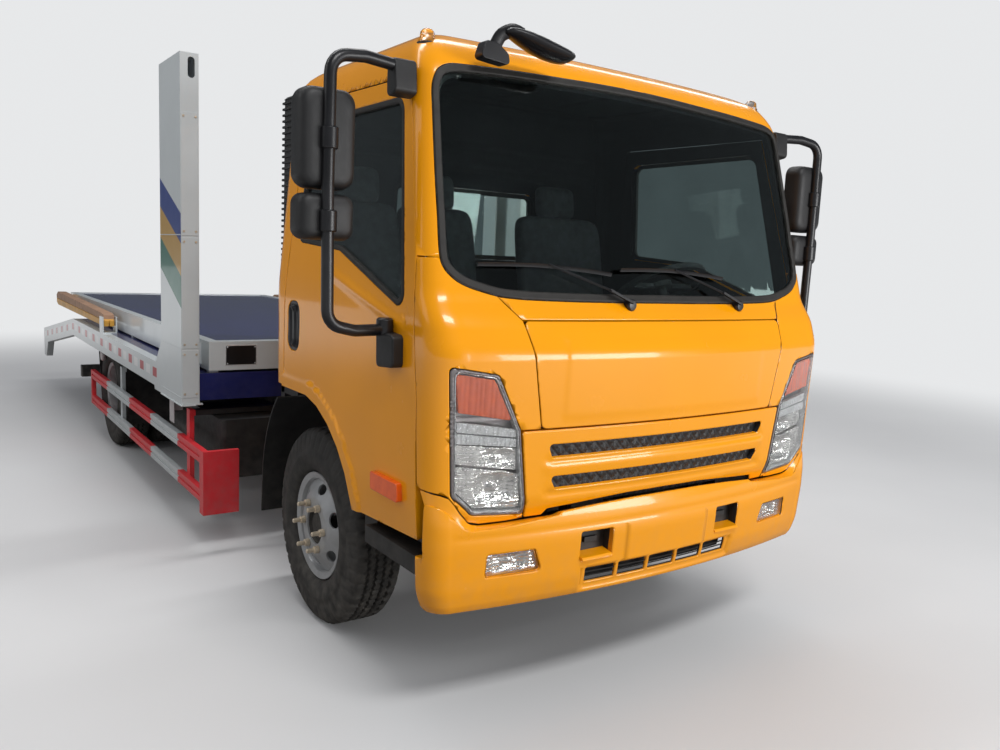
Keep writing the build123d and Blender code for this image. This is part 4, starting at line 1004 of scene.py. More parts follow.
PILLAR_Z = 1600
DOOR_FRONT = [(-981, 645), (-981, 667), (-969, 1140), (-906, 1600)]
FLAP = [(-600, 1043), (600, 1043), (665, 1405), (-665, 1405)]
HEADLAMP = [(950, 1261), (775, 1233), (680, 1042), (638, 740), (842, 757), (926, 832)]
headlamp_hole = cab_outline([("f", *p) for p in HEADLAMP], [14, 22, 10, 8, 30, 30])
COWL_END = (728, 1480)
screen_at_pillar = (945, PILLAR_Z)
cowl_at_screen = cab_point("f", *COWL_END)

# Corner panel: pillar seam, round the windscreen, down the flap, round the lamp, above the bumper, up the door seam
LAMP_STOPS = [(680, 1046), (950, 1261), (926, 832), (842, 757), (642, 741)]
CORNER_FOOT = [(638, 727), (704, 723), (806, 724), (848, 735), (884, 773), (910, 804), (935, 834), (962, 842),
               (984, 846)]
corner_loop = tidy(
    run_of(windscreen_hole, screen_at_pillar, cowl_at_screen)
    + edge_points("f", [(COWL_END[0] - 2, COWL_END[1] - 6), (669, 1405), (604, 1043), (680, 1043)])
    + run_through(headlamp_hole, [cab_point("f", *p) for p in LAMP_STOPS])
    + edge_points("f", CORNER_FOOT)
    + edge_points("s", [(-981, 853)] + DOOR_FRONT[2:])
)


def make_corner(name, turn_over):
    skin = panel(f"corner_panel_{name}", [turn_over(corner_loop)], cab_place, 30, 20, 3.0)
    finish_piece(skin, "cab", cab_paint)


both_sides(make_corner)

cowl_loop = tidy(
    run_of(windscreen_hole, cab_point("f", -728, 1480), cab_point("f", 728, 1480))
    + edge_points("f", [(722, 1472), (668, 1410), (-668, 1410), (-722, 1472)])
)
cowl = panel("cowl_strip", [cowl_loop], cab_place, 30, 24, 3.0)
finish_piece(cowl, "cab", cab_paint)

flap_loop = cab_outline([("f", *p) for p in FLAP], [22, 22, 16, 16])


def flap_lift(uw):
    """Raised field in the middle of the flap, left bare."""
    across = np.abs(uw[:, 0]) / U_FRONT * 915
    edge = np.maximum(across - 520, np.abs(uw[:, 1] - 1215) - 130)
    t = np.clip(-edge / 26 + 0.5, 0, 1)
    return 3.0 * t * t * (3 - 2 * t)


flap_skin = panel("front_flap_skin", [flap_loop], cab_place, 22, 22, 3.5, flap_lift)
finish_piece(flap_skin, "front_flap", cab_paint, ["front_flap"])

# Grille panel with its two slots
GRILLE_HALF = [(0, 774), (200, 772), (315, 765), (440, 756), (543, 750), (560, 727), (632, 727), (674, 1036)]
GRILLE = [(-x, z) for x, z in GRILLE_HALF[:0:-1]] + GRILLE_HALF
grille_loop = cab_outline([("f", *p) for p in GRILLE], 6)


def slot_loop(low, high, bottom_half, top_half, radius=12):
    return cab_outline([("f", -bottom_half, low), ("f", bottom_half, low), ("f", top_half, high),
                        ("f", -top_half, high)], radius)


lower_slot = slot_loop(821, 871, 524, 553)
upper_slot = slot_loop(935, 985, 546, 568)


def grille_lift(uw):
    """Rounded bar between the slots, and sills that lean back into each slot's lower edge."""
    within = np.clip((600 - np.abs(uw[:, 0])) / 40, 0, 1)
    bar = 5.0 * np.exp(-((uw[:, 1] - 902) / 30.0) ** 2)
    sills = sum(np.clip(1 - np.abs(uw[:, 1] - low) / 22.0, 0, 1) for low in (815, 929))
    return (bar - 7.0 * sills) * within


grille_skin = panel("grille_panel_skin", [grille_loop, lower_slot, upper_slot], cab_place, 34, 20, 5.0, grille_lift)
finish_piece(grille_skin, "cab", cab_paint, ["grille_panel"])

# Upper shell: pillars, door frame, rear corners and the edges of the roof
BACK_BOTTOM = 1015
U_SPLIT = 2462.0
screen_half = run_of(windscreen_hole, (2, 2279), (screen_at_pillar[0], 1606))
shell_right = (
    screen_half
    + edge_points("s", [(-902, 1606), (-860, 1755), (-741, 2204), (153, 2219), (160, 2190), (219, 1500),
                        (219, BACK_BOTTOM), (286, BACK_BOTTOM)])
    + [(u, BACK_BOTTOM) for u in (2350, 2400, 2440)]
    + [(U_SPLIT, w) for w in range(BACK_BOTTOM, 2600, 60)]
    + [(U_SPLIT, 2600)]
)
top_run = [(u, 2600) for u in range(int(U_SPLIT) - 60, -int(U_SPLIT), -60)]
shell_loop = tidy(shell_right + top_run + [(-u, w) for u, w in shell_right[::-1]])
shell_skin = panel("cab_shell_skin", [shell_loop], cab_place, 34, 30, 3.0)
finish_piece(shell_skin, "cab", cab_paint, ["cab_shell"])

# Back wall with its window
SPAN_BACK = 850.0


def back_u(x):
    return U_REAR - x / SPAN_BACK * (U_REAR - U_BACK)


back_edge = 2 * U_REAR - U_SPLIT - 4
back_loop = [(U_SPLIT + 4, BACK_BOTTOM), (back_edge, BACK_BOTTOM), (back_edge, 2597), (U_SPLIT + 4, 2597)]
back_window = rounded([(back_u(x), w) for x, w in ((400, 1600), (-400, 1600), (-400, 1950), (400, 1950))], 45)


def back_lift(uw):
    """Pressed ribs across the lower half of the back wall."""
    along = np.clip((780 - np.abs(uw[:, 0] - U_REAR)) / 30, 0, 1)
    out = 0
    for w in (1130, 1240, 1350, 1460, 2060, 2150):
        out = out + np.clip(1 - ((uw[:, 1] - w) / 22.0) ** 2, 0, 1) ** 1.5
    return -9.0 * out * along


back_skin = panel("cab_back_skin", [back_loop, back_window], cab_place, 30, 30, 3.0, back_lift)
finish_piece(back_skin, "cab", cab_paint)


# Roof in the middle, slightly crowned, with two long ribs
def roof_place(xy):
    crown = 7.0 * (1 - (xy[:, 0] / 665) ** 2) * (1 - ((xy[:, 1] + 205) / 345) ** 2)
    rib = sum(np.clip(1 - ((xy[:, 0] - x) / 34.0) ** 2, 0, 1) ** 1.5 for x in (-330, 0, 330))
    rib = rib * np.clip((270 - np.abs(xy[:, 1] + 205)) / 30, 0, 1)
    return np.stack([xy[:, 0], xy[:, 1], 2390 + crown + 5 * rib], axis=1)


roof_edge = cab_place(np.array([(u, 2600.0) for u in np.linspace(-3270, 3270, 120)]))[:, :2]
roof_skin = panel("cab_roof_skin", [[tuple(p) for p in roof_edge]], roof_place, 30, 26, 0.0)
finish_piece(roof_skin, "cab", cab_paint)


# Mesh behind the grille slots
def mesh_relief(uw):
    """Woven wire: two families of ridges."""
    a = np.abs(np.sin((uw[:, 0] + uw[:, 1]) * math.pi / 11))
    b = np.abs(np.sin((uw[:, 0] - uw[:, 1]) * math.pi / 11))
    return 1.2 * np.maximum(a, b) ** 4


MESH_CORNERS = [("f", -585, 735), ("f", 585, 735), ("f", 590, 1000), ("f", -590, 1000)]
grille_back = panel("grille_mesh", [cab_outline(MESH_CORNERS)], cab_place, 4, 9, 0, mesh_relief, -28)
finish_piece(grille_back, "cab", black_plastic)


# Bumper skin on its own rows: (w, height, front at the middle, corner drop, half width, rear, corner radius)
BUMPER_ROWS = np.array([
    (412, 414, -1136, 78, 955, -890, 84),
    (440, 440, -1154, 82, 974, -890, 88),
    (500, 500, -1170, 88, 992, -890, 92),
    (650, 650, -1180, 90, 1000, -890, 92),
    (735, 735, -1168, 80, 1000, -890, 88),
    (812, 812, -1140, 66, 1000, -890, 80),
], float)
BUMPER_STATIONS = (900.0, 1055.0, 1070.0, 1220.0, 2000.0)
BUMPER_REAR, BUMPER_FOOT_REAR, BUMPER_NOTCH = -1026.0, -986.0, 618


def bumper_place(uw):
    uw = np.asarray(uw, float)
    fields = row_fields(uw[:, 1], BUMPER_ROWS, 14.0)
    x, y = plan_outline(uw[:, 0], *fields[1:], stations=BUMPER_STATIONS)
    return np.stack([x, y, fields[0]], axis=1)


def bumper_u(x, z):
    """Unrolled place of a point of the bumper's front, seen from the front."""
    tries = np.stack([np.linspace(0, 1200, 601), np.full(601, float(z))], axis=1)
    across = bumper_place(tries)[:, 0]
    widest = int(np.argmax(across)) + 1
    return math.copysign(float(np.interp(abs(x), across[:widest], tries[:widest, 0])), x)


def bumper_end(z):
    """Unrolled place where the bumper's side ends."""
    tries = np.stack([np.linspace(900, 1200, 601), np.full(601, float(z))], axis=1)
    rear = BUMPER_REAR if z > BUMPER_NOTCH else BUMPER_FOOT_REAR
    return float(np.interp(rear, bumper_place(tries)[:, 1], tries[:, 0]))


def bumper_outline(points, radii=0.0):
    return [(bumper_u(x, z), z) for x, z in resample(rounded(points, radii, 5.0), 40.0)]


# Front edge of the bumper's top (x, z), and where its shelf meets the cab
BUMPER_TOP = [(0, 761), (180, 760), (337, 755), (500, 745), (514, 735), (574, 729), (640, 723), (730, 715), (800, 712),
              (841, 712), (868, 720), (882, 728), (897, 745), (906, 755), (926, 777), (947, 789), (968, 801),
              (988, 806)]
SHELF_BACK = [(520, 722), (570, 722), (632, 720), (704, 718), (770, 718), (808, 719), (833, 724), (849, 732),
              (868, 752), (884, 768), (905, 796), (930, 826), (955, 836), (975, 840)]
half_top = [(bumper_u(x, z), z) for x, z in BUMPER_TOP]
side_run = [(bumper_end(z), z) for z in (803, 780, 740, 700, 650, 619, 617, 600, 560, 520, 480, 440, 414)]
bottom_run = [(u, 414.0) for u in np.linspace(bumper_end(414), 0, 26)[1:]]
bumper_half = tidy(half_top + side_run + bottom_run, 1.5)
bumper_loop = tidy(bumper_half + [(-u, w) for u, w in bumper_half[::-1] if u > 1.0], 1.5)
FOG = [(608, 625), (790, 625), (793, 541), (577, 543)]
TOW = [(276, 556), (420, 556), (420, 662), (276, 662)]
fog_hole = bumper_outline(FOG, 12)
tow_hole = bumper_outline(TOW, 9)
VENT_WINDOWS, VENT_HALF, VENT_LOW, VENT_HIGH = 5, 384.0, 454.0, 514.0
vent_holes = []
for window in range(VENT_WINDOWS):
    middle = (window + 0.5) * 2 * VENT_HALF / VENT_WINDOWS - VENT_HALF
    vent_holes.append(bumper_outline(
        [(middle - 65, VENT_LOW), (middle + 71, VENT_LOW), (middle + 67, VENT_HIGH), (middle - 71, VENT_HIGH)], 5))


def smooth_step(value):
    t = np.clip(value, 0, 1)
    return t * t * (3 - 2 * t)


def bumper_lift(uw):
    """Raised plate place, sunk surround of the vents and a soft crease round the top."""
    across, z = np.abs(uw[:, 0]), uw[:, 1]
    plate = smooth_step((208 - across) / 5 + 0.5) * smooth_step((70 - np.abs(z - 600)) / 5 + 0.5)
    vents = smooth_step((414 - across) / 22) * smooth_step((532 - z) / 16) * smooth_step((z - 436) / 12)
    crease = np.exp(-((z - 690) / 9.0) ** 2) * smooth_step((930 - across) / 60)
    return 6.0 * plate - 15.0 * vents - 2.0 * crease


bumper_skin = panel("bumper_skin", [bumper_loop, fog_hole, flip(fog_hole), tow_hole, flip(tow_hole)] + vent_holes,
                    bumper_place, 26, 16, 5.0, bumper_lift)
finish_piece(bumper_skin, "cab", cab_paint, ["bumper"])


def strip(name, lines, thickness, body, slot, material, angle=50):
    """Thin sheet through several lines of equally many points."""
    lines = np.array(lines, float)
    rows, count = lines.shape[:2]
    below = lines - np.array([0, 0, thickness])
    faces = []
    for i in range(rows - 1):
        for k in range(count - 1):
            a, b, c, d = i * count + k, i * count + k + 1, (i + 1) * count + k + 1, (i + 1) * count + k
            faces += [(a, b, c, d), tuple(v + rows * count for v in (d, c, b, a))]
    rim = ([k for k in range(count)] + [i * count + count - 1 for i in range(1, rows)]
           + [(rows - 1) * count + k for k in range(count - 2, -1, -1)] + [i * count for i in range(rows - 2, 0, -1)])
    for a, b in zip(rim, rim[1:] + rim[:1]):
        faces.append((b, a, a + rows * count, b + rows * count))
    return Shape().add(np.concatenate([lines.reshape(-1, 3), below.reshape(-1, 3)]), faces).piece(
        name, body, slot, material, angle=angle)


def shelf_lines():
    """Front edge, two lines between, and back edge of the bumper's top."""
    front, back = [], []
    for x, z in BUMPER_TOP:
        at = np.array([(bumper_u(x, z), float(z))])
        du = bumper_place(at + [1, 0]) - bumper_place(at - [1, 0])
        dv = bumper_place(at + [0, 1]) - bumper_place(at - [0, 1])
        front.append((bumper_place(at) - unit(np.cross(du, dv)) * 4.0)[0] + [0, 0, -0.6])
    end = np.array([(bumper_end(806), 806.0)])
    front.append((bumper_place(end) - [[4.0, 0, 0.6]])[0])
    for x, z in BUMPER_TOP[:4]:
        back.append(front[len(back)] + np.array([0, 26, -9]))
    for x, z in SHELF_BACK:
        back.append(cab_place(np.array([cab_point("f", x, z)]))[0])
    back.append(cab_place(np.array([cab_point("s", -1004, 846)]))[0])
    front, back = np.array(front), np.array(back)
    between_lines = [front + (back - front) * t + np.array([0, 0, lift]) for t, lift in ((0.3, 1.5), (0.7, 1.5))]
    half = [front] + between_lines + [back]
    return [np.concatenate([line[:0:-1] * [-1, 1, 1], line]) for line in half]


shelf_paint = surface("shelf_paint_coat", YELLOW, (0.22, 0.30), coat=0.5, variation=0.035, scale=2.0,
                      grain=0.05, grain_scale=180.0)
strip("bumper_shelf", shelf_lines(), 5, "cab", "cab_paint", shelf_paint)

# Dark hollow between the bumper's side and the door, and behind the slit: thin black boxes fill it as painted shade
gap_shade_boxes = Shape()
for side in (-1, 1):
    gap_shade_boxes.box(sorted((side * 925, side * 935)), (-1020, -960), (560, 760))
gap_shade_boxes.piece("door_gap_shade_block", "cab", "black_plastic", black_plastic, bevel=2)

# Dark boxes behind the tow pockets with a bar across, and the slats of the vents
pockets = Shape()
for x in (-348, 348):
    pockets.box((x - 84, x + 84), (-1112, -1104), (548, 672))
    pockets.box((x - 84, x - 75), (-1140, -1105), (548, 672)).box((x + 75, x + 84), (-1140, -1105), (548, 672))
    pockets.box((x - 84, x + 84), (-1140, -1105), (546, 553)).box((x - 84, x + 84), (-1140, -1105), (664, 670))
    pockets.box((x - 30, x + 30), (-1126, -1112), (606, 626))
sills = Shape()
for x in (-348, 348):
    sills.prism([(-1172, 557), (-1112, 549), (-1112, 576), (-1166, 568)], "x", x - 71, x + 71)
sills.piece("tow_sills", "cab", "cab_paint", shelf_paint, bevel=3)
pockets.piece("tow_pockets", "cab", "black_plastic", black_plastic, bevel=2)

slats = Shape()
for level in range(3):
    z = VENT_LOW + 6 + level * 17.0
    path = [bumper_place(np.array([(u, z)]))[0] + np.array([0, 30, 0]) for u in np.linspace(-386, 386, 24)]
    slats.sweep(path, [(-9, -5), (9, 2), (9, 5), (-9, -2)])
slats.piece("vent_slats", "cab", "black_plastic", seal_rubber)
vent_back = panel("vent_back", [bumper_outline([(-392, 448), (392, 448), (392, 522), (-392, 522)])],
                  bumper_place, 3, 30, 0, None, -52)
finish_piece(vent_back, "cab", black_plastic)


# Headlamps: a dark bezel, orange block, ribbed strips and two reflectors behind a clear cover
def lamp_part(name, points, radii, offset, thickness, material, step=12.0, edge=2.0, relief=None, turn=None,
              holes=(), body="cab", replaced=()):
    loops = [cab_outline([("f", *p) for p in points], radii)]
    loops += [cab_outline([("f", *p) for p in hole], hole_radii) for hole, hole_radii in holes]
    made = panel(name, [turn(loop) for loop in loops], cab_place, thickness, step, edge, relief, offset)
    return finish_piece(made, body, material, replaced)


def ribs(pitch, depth, axis=0):
    def relief(uw):
        return depth * np.abs(np.sin(uw[:, axis] * math.pi / pitch))
    return relief


def bowl(x, z, half_width, half_height, depth):
    """Rounded reflector sunk into its field, with a bulb's boss in the middle."""
    def relief(uw):
        a = (np.abs(uw[:, 0]) - x * U_FRONT / 915.0) / half_width
        b = (uw[:, 1] - z) / half_height
        r = (a**4 + b**4) ** 0.25
        dish = -depth * np.clip(1 - r**2, 0, 1)
        facets = 1.2 * np.abs(np.sin(uw[:, 0] * math.pi / 17)) * np.clip(1 - r, 0, 1)
        boss = depth * 0.75 * np.exp(-((a / 0.22) ** 2 + (b / 0.22) ** 2))
        return dish + facets + boss
    return relief


def make_headlamp(name, turn_over):
    outer = [(947, 1258), (777, 1231), (683, 1041), (641, 743), (841, 760), (923, 834)]
    inner = [(931, 1246), (784, 1223), (691, 1039), (650, 752), (839, 769), (911, 839)]
    inner_radii = [14, 20, 12, 10, 24, 24]
    trim = [(928, 1243), (786, 1220), (694, 1037), (654, 756), (837, 773), (908, 842)]
    lamp_part(f"lamp_bezel_{name}", outer, [14, 22, 10, 8, 28, 28], 1, 45, lamp_bezel, 14, 4,
              turn=turn_over, holes=[(inner, inner_radii)], replaced=["cab_lamps"] if name == "left" else ())
    lamp_part(f"lamp_trim_{name}", inner, inner_radii, -1, 30, lamp_bright, 12, 1.5,
              turn=turn_over, holes=[(trim, inner_radii)])
    lamp_part(f"lamp_back_{name}", inner, inner_radii, -44, 4, lamp_bezel, 10, 0,
              ribs(23, 2.0, 1), turn_over)
    lamp_part(f"lamp_indicator_{name}", [(924, 1236), (788, 1215), (716, 1076), (912, 1110)], [10, 14, 6, 6],
              -8, 26, amber_glass, 8, 2, ribs(19, 2.6, 0), turn_over)
    for level, (outer_z, inner_z) in enumerate(((1078, 1044), (1040, 1011))):
        lamp_part(f"lamp_strip_{name}_{level}",
                  [(910, outer_z), (698 - 5 * level, inner_z), (694 - 5 * level, inner_z - 28), (910, outer_z - 34)],
                  4, -12, 14, lamp_bright, 6, 2, ribs(9.5, 3.0, 0), turn_over)
    lamp_part(f"lamp_upper_bowl_{name}", [(909, 1001), (687, 977), (676, 900), (908, 937)], 6,
              -20, 20, lamp_chrome, 7, 2, bowl(770, 945, 72, 30, 16), turn_over)
    lamp_part(f"lamp_lower_bowl_{name}", [(907, 930), (675, 890), (660, 762), (836, 779), (905, 846)], 8,
              -14, 24, lamp_chrome, 6, 2, bowl(778, 846, 78, 56, 26), turn_over)
    lamp_part(f"lamp_cover_{name}", [(933, 1247), (783, 1224), (690, 1039), (649, 751), (839, 768), (912, 838)],
              inner_radii, 3, 3, lamp_glass, 16, 2, None, turn_over)


lamp_bezel = surface("lamp_bezel_grey", (0.24, 0.22, 0.22), (0.25, 0.4), metal=0.5, variation=0.15, scale=18.0,
                     grain=0.1, grain_scale=400.0)
lamp_bright = surface("lamp_bright_strip", (0.86, 0.87, 0.88), (0.15, 0.35), metal=0.35, variation=0.1, scale=60.0,
                      grain=0.2, grain_scale=300.0)
both_sides(make_headlamp)


def make_fog_lamp(name, turn_over):
    field = [(613, 620), (785, 620), (787, 546), (584, 548)]
    outer = bumper_outline([(x + 2 * (x < 700) - 2 * (x > 700), z) for x, z in FOG], 9)
    rim = panel(f"fog_rim_{name}", [turn_over(outer), turn_over(bumper_outline(field, 8))],
                bumper_place, 22, 10, 2, None, -7)
    finish_piece(rim, "cab", shelf_paint)
    dish = panel(f"fog_reflector_{name}", [turn_over(bumper_outline([(612, 621), (786, 621), (788, 545), (583, 547)],
                                                                    8))],
                 bumper_place, 8, 7, 1, bowl_at(692, 584, 74, 34, 16), -22)
    finish_piece(dish, "cab", lamp_chrome)
    cover = panel(f"fog_cover_{name}", [turn_over(bumper_outline([(611, 621), (787, 621), (789, 545), (582, 547)], 8))],
                  bumper_place, 3, 12, 1.5, ribs(15, 0.8, 0), -6)
    finish_piece(cover, "cab", lamp_glass)


def bowl_at(x, z, half_width, half_height, depth):
    return bowl(x * 915.0 / U_FRONT, z, half_width, half_height, depth)


both_sides(make_fog_lamp)

# Marker domes on the roof's front corners
for name, x in (("left", 850), ("right", -850)):
    dome = Shape()
    section = [(0, 30), (14, 30), (16, 27), (38, 24), (46, 17), (50, 8), (51, 0), (0, 0)]
    dome.lathe(section, (x, -700, 2322), "z", 28)
    dome.piece(f"roof_marker_{name}", "cab", "lamp_lens", lamp_glass, angle=50)
    Shape().lathe([(0, 0), (0, 37), (8, 36), (10, 31), (10, 0)], (x, -700, 2316), "z", 28).piece(
        f"roof_marker_seat_{name}", "cab", "black_plastic", black_plastic)

# Windscreen: rubber ring and pane; the back window and door windows likewise
def ring(name, outer, inner, place, body, offset=4.0, thickness=18.0, edge=7.0, replaced=(), step=16.0):
    made = panel(name, [outer, inner], place, thickness, step, edge, None, offset)
    return finish_piece(made, body, seal_rubber, replaced)


def pane(name, loop, place, body, offset=-7.0, thickness=5.0, replaced=(), step=60.0):
    made = panel(name, [loop], place, thickness, step, 0, None, offset)
    return finish_piece(made, body, clear_glass, replaced)


screen_inner = [tuple(p) for p in shrink(resample(windscreen_hole, 16.0), 30)]
ring("windscreen_rubber", [tuple(p) for p in shrink(resample(windscreen_hole, 16.0), 1.5)], screen_inner, cab_place,
     "cab", replaced=["screen_seal"])
pane("windscreen_pane", [tuple(p) for p in shrink(resample(windscreen_hole, 16.0), 24)], cab_place, "cab",
     replaced=["cab_glass"])
back_outer = [tuple(p) for p in shrink(resample(back_window, 16.0), 1.0)]
ring("back_window_rubber", back_outer, [tuple(p) for p in shrink(resample(back_window, 16.0), 24)], cab_place, "cab")
pane("back_window_pane", [tuple(p) for p in shrink(resample(back_window, 16.0), 20)], cab_place, "cab", -16)


def make_door_glass(name, turn_over):
    body = f"door_{name}"
    outer = [tuple(p) for p in shrink(resample(window_hole, 14.0), 1.0)]
    inner = [tuple(p) for p in shrink(resample(window_hole, 14.0), 20)]
    ring(f"door_window_rubber_{name}", turn_over(outer), turn_over(inner), cab_place, body, 2.0, 20, 5, step=14)
    pane(f"door_pane_{name}", turn_over([tuple(p) for p in shrink(resample(window_hole, 14.0), 16)]), cab_place, body,
         -14, 5, [f"door_glass_{name}"])


both_sides(make_door_glass)

# Area light helper; the floor, lights and camera are set up at the end

def area_light(name, place, size, power, target=(0, 0, 0.8), colour=(1, 1, 1)):
    data = bpy.data.lights.new(name, "AREA")
    data.shape = "RECTANGLE"
    data.size, data.size_y = size
    data.energy = power
    data.color = colour
    lamp = bpy.data.objects.new(name, data)
    lamp.location = place
    aim = Vector(target) - Vector(place)
    lamp.rotation_euler = aim.to_track_quat("-Z", "Y").to_euler()
    bpy.context.scene.collection.objects.link(lamp)
    return lamp


# Wheels

TREAD_LUGS = 46          # cross cuts round the tread
TREAD_STEPS = 8          # slices of the tyre for each cut


def tyre_piece(name, centre_x, centre_y, body, lugs, replaced=()):
    """Tyre turned about its axle: ribbed sidewalls, grooved tread with cross cuts."""
    across = np.array([-84, -84, -100, -109, -114, -117.2, -116.5, -114.5, -115.5, -112, -111, -106, -99.5, -96,
                       -80, -62, -58, -50, -46, -26, -22, -14, -10, 10], float)
    radius = np.array([206, 236, 243, 256, 276, 306, 322, 324, 345, 372, 376, 396, 408, 411,
                       424, 424.6, 413, 413, 424.9, 425, 413, 413, 425, 425], float)
    across = np.concatenate([across, -across[-2::-1]])
    radius = np.concatenate([radius, radius[-2::-1]])
    count, turns = len(across), TREAD_STEPS * lugs
    verts, faces = [], []
    for i in range(turns):
        phase = i % TREAD_STEPS
        for k in range(count):
            a, r = across[k], radius[k]
            edge = abs(a)
            if edge <= 96 and r > 420:
                if edge > 60 and phase in (0, 1):
                    r -= 9
                elif edge <= 60 and phase == (4 if edge > 30 else 2):
                    r -= 6
            if 98 < edge < 112.5 and 370 < r < 412 and phase in (0, 1):
                a -= math.copysign(3.5, a)
            shift = 0.0
            if 8 < edge < 64:
                shift = 4.0 * math.sin(2 * math.pi * i / TREAD_STEPS * 2) * math.copysign(1, a)
            angle = 2 * math.pi * i / turns
            verts.append((centre_x + a + shift * (r > 412.5), centre_y + r * math.sin(angle),
                          AXLE_Z + r * math.cos(angle)))
    for i in range(turns):
        j = (i + 1) % turns
        for k in range(count - 1):
            faces.append((i * count + k, j * count + k, j * count + k + 1, i * count + k + 1))
        faces.append((i * count + count - 1, j * count + count - 1, j * count, i * count))
    return Shape().add(verts, faces).piece(name, body, "tyre_rubber", tyre_rubber, replaced, angle=50)


def disc_place(centre_x, centre_y, way, profile):
    """Wheel disc: u along y, w up, pushed out along the axle by its radius."""
    reach, rise = np.array(profile, float).T

    def place(uw):
        uw = np.asarray(uw, float)
        out = np.interp(np.hypot(uw[:, 0], uw[:, 1]), reach, rise)
        return np.stack([centre_x + way * out, centre_y + way * uw[:, 0], AXLE_Z + uw[:, 1]], axis=1)
    return place


def circle(radius, count=48, middle=(0.0, 0.0)):
    return [(middle[0] + radius * math.cos(2 * math.pi * k / count),
             middle[1] + radius * math.sin(2 * math.pi * k / count)) for k in range(count)]


def slot_ring(ring_radius, half_along, half_across, phase, count=6):
    """Oval openings spread round a disc."""
    out = []
    for k in range(count):
        a = math.radians(phase) + 2 * math.pi * k / count
        middle = np.array([math.sin(a), math.cos(a)]) * ring_radius
        along, over = np.array([math.cos(a), -math.sin(a)]), np.array([math.sin(a), math.cos(a)])
        out.append([tuple(middle + along * half_along * math.cos(t) + over * half_across * math.sin(t))
                    for t in np.linspace(0, 2 * math.pi, 20, endpoint=False)])
    return out


FRONT_DISC = [(0, 110), (124, 110), (133, 107), (168, 86), (184, 76), (202, 70), (240, 70)]
REAR_DISC = [(0, -121), (126, -121), (134, -118), (172, -70), (190, -46), (202, -42), (240, -42)]


def wheel_piece(name, centre_x, centre_y, way, body, disc, hub, stud_radius, replaced=()):
    barrel = Shape().lathe([(-96, 231), (-92, 233), (-88, 231), (-86, 207), (40, 207), (60, 214), (80, 214), (86, 216),
                            (88, 231), (92, 233), (96, 231), (94, 222), (88, 206), (70, 199), (30, 196), (-88, 196)],
                           (centre_x, centre_y, AXLE_Z), "x", 72, way)
    barrel.piece(f"{name}_barrel", body, "rim_paint", rim_silver, replaced, angle=40)
    face = panel(f"{name}_disc", [circle(200, 72), circle(80, 40)] + slot_ring(166, 34, 20, 8),
                 disc_place(centre_x, centre_y, way, disc), 10, 12, 2.5)
    finish_piece(face, body, rim_silver)
    top = disc[1][1]
    low, high = hub
    middle = Shape().lathe([(top - 30, 0), (top - 30, 84), (top - 6, 84), (low, 76), (low, 66), (high - 8, 60),
                            (high, 52), (high, 0)], (centre_x, centre_y, AXLE_Z), "x", 40, way)
    middle.piece(f"{name}_hub", body, "cast_metal", cast_metal, angle=40)
    studs = Shape()
    for k in range(6):
        a = math.pi * k / 3 + 0.52
        y, z = centre_y + stud_radius * math.sin(a), AXLE_Z + stud_radius * math.cos(a)
        studs.lathe([(top, 0), (top, 15), (top + 3, 17), (top + 20, 16), (top + 22, 10), (top + 52, 10),
                     (top + 55, 7), (top + 55, 0)], (centre_x, y, z), "x", 12, way)
    studs.piece(f"{name}_studs", body, "cast_metal", bolt_steel, angle=35)


for side_name, way in (("left", 1), ("right", -1)):
    front_body, rear_body = f"wheel_front_{side_name}", f"wheel_rear_{side_name}"
    tyre_piece(f"tyre_tread_front_{side_name}", way * 828, 0, front_body, TREAD_LUGS, [f"tyre_front_{side_name}"])
    wheel_piece(f"wheel_front_{side_name}", way * 828, 0, way, front_body, FRONT_DISC, (84, 96), 104,
                [f"rim_front_{side_name}"])
    for place_name, x in (("outer", 942), ("inner", 677)):
        tyre_piece(f"tyre_tread_rear_{side_name}_{place_name}", way * x, WHEELBASE, rear_body, TREAD_LUGS,
                   [f"tyres_rear_{side_name}"] if place_name == "outer" else ())
    wheel_piece(f"wheel_rear_{side_name}", way * 942, WHEELBASE, way, rear_body, REAR_DISC, (-118, -60), 106,
                [f"rims_rear_{side_name}"])
    Shape().lathe([(-96, 231), (-88, 231), (-86, 207), (86, 207), (88, 231), (96, 231), (92, 196), (-92, 196)],
                  (way * 677, WHEELBASE, AXLE_Z), "x", 64, way).piece(
        f"wheel_rear_{side_name}_inner_barrel", rear_body, "rim_paint", rim_silver, angle=40)


# Door mirrors, handles and side markers

def loft_box(outline, rows):
    """Rounded head built from scaled copies of its (x, z) outline at several y places."""
    outline = np.array(outline, float)
    middle = (outline.max(0) + outline.min(0)) / 2
    half = (outline.max(0) - outline.min(0)) / 2
    verts, faces = [], []
    count = len(outline)
    for y, inset in rows:
        scale = np.maximum(half - inset, 2) / half
        for p in outline:
            x, z = middle + (p - middle) * scale
            verts.append((x, y, z))
    for r in range(len(rows) - 1):
        for k in range(count):
            m = (k + 1) % count
            faces.append((r * count + k, r * count + m, (r + 1) * count + m, (r + 1) * count + k))
    faces += [tuple(range(count))[::-1], tuple((len(rows) - 1) * count + k for k in range(count))]
    return verts, faces


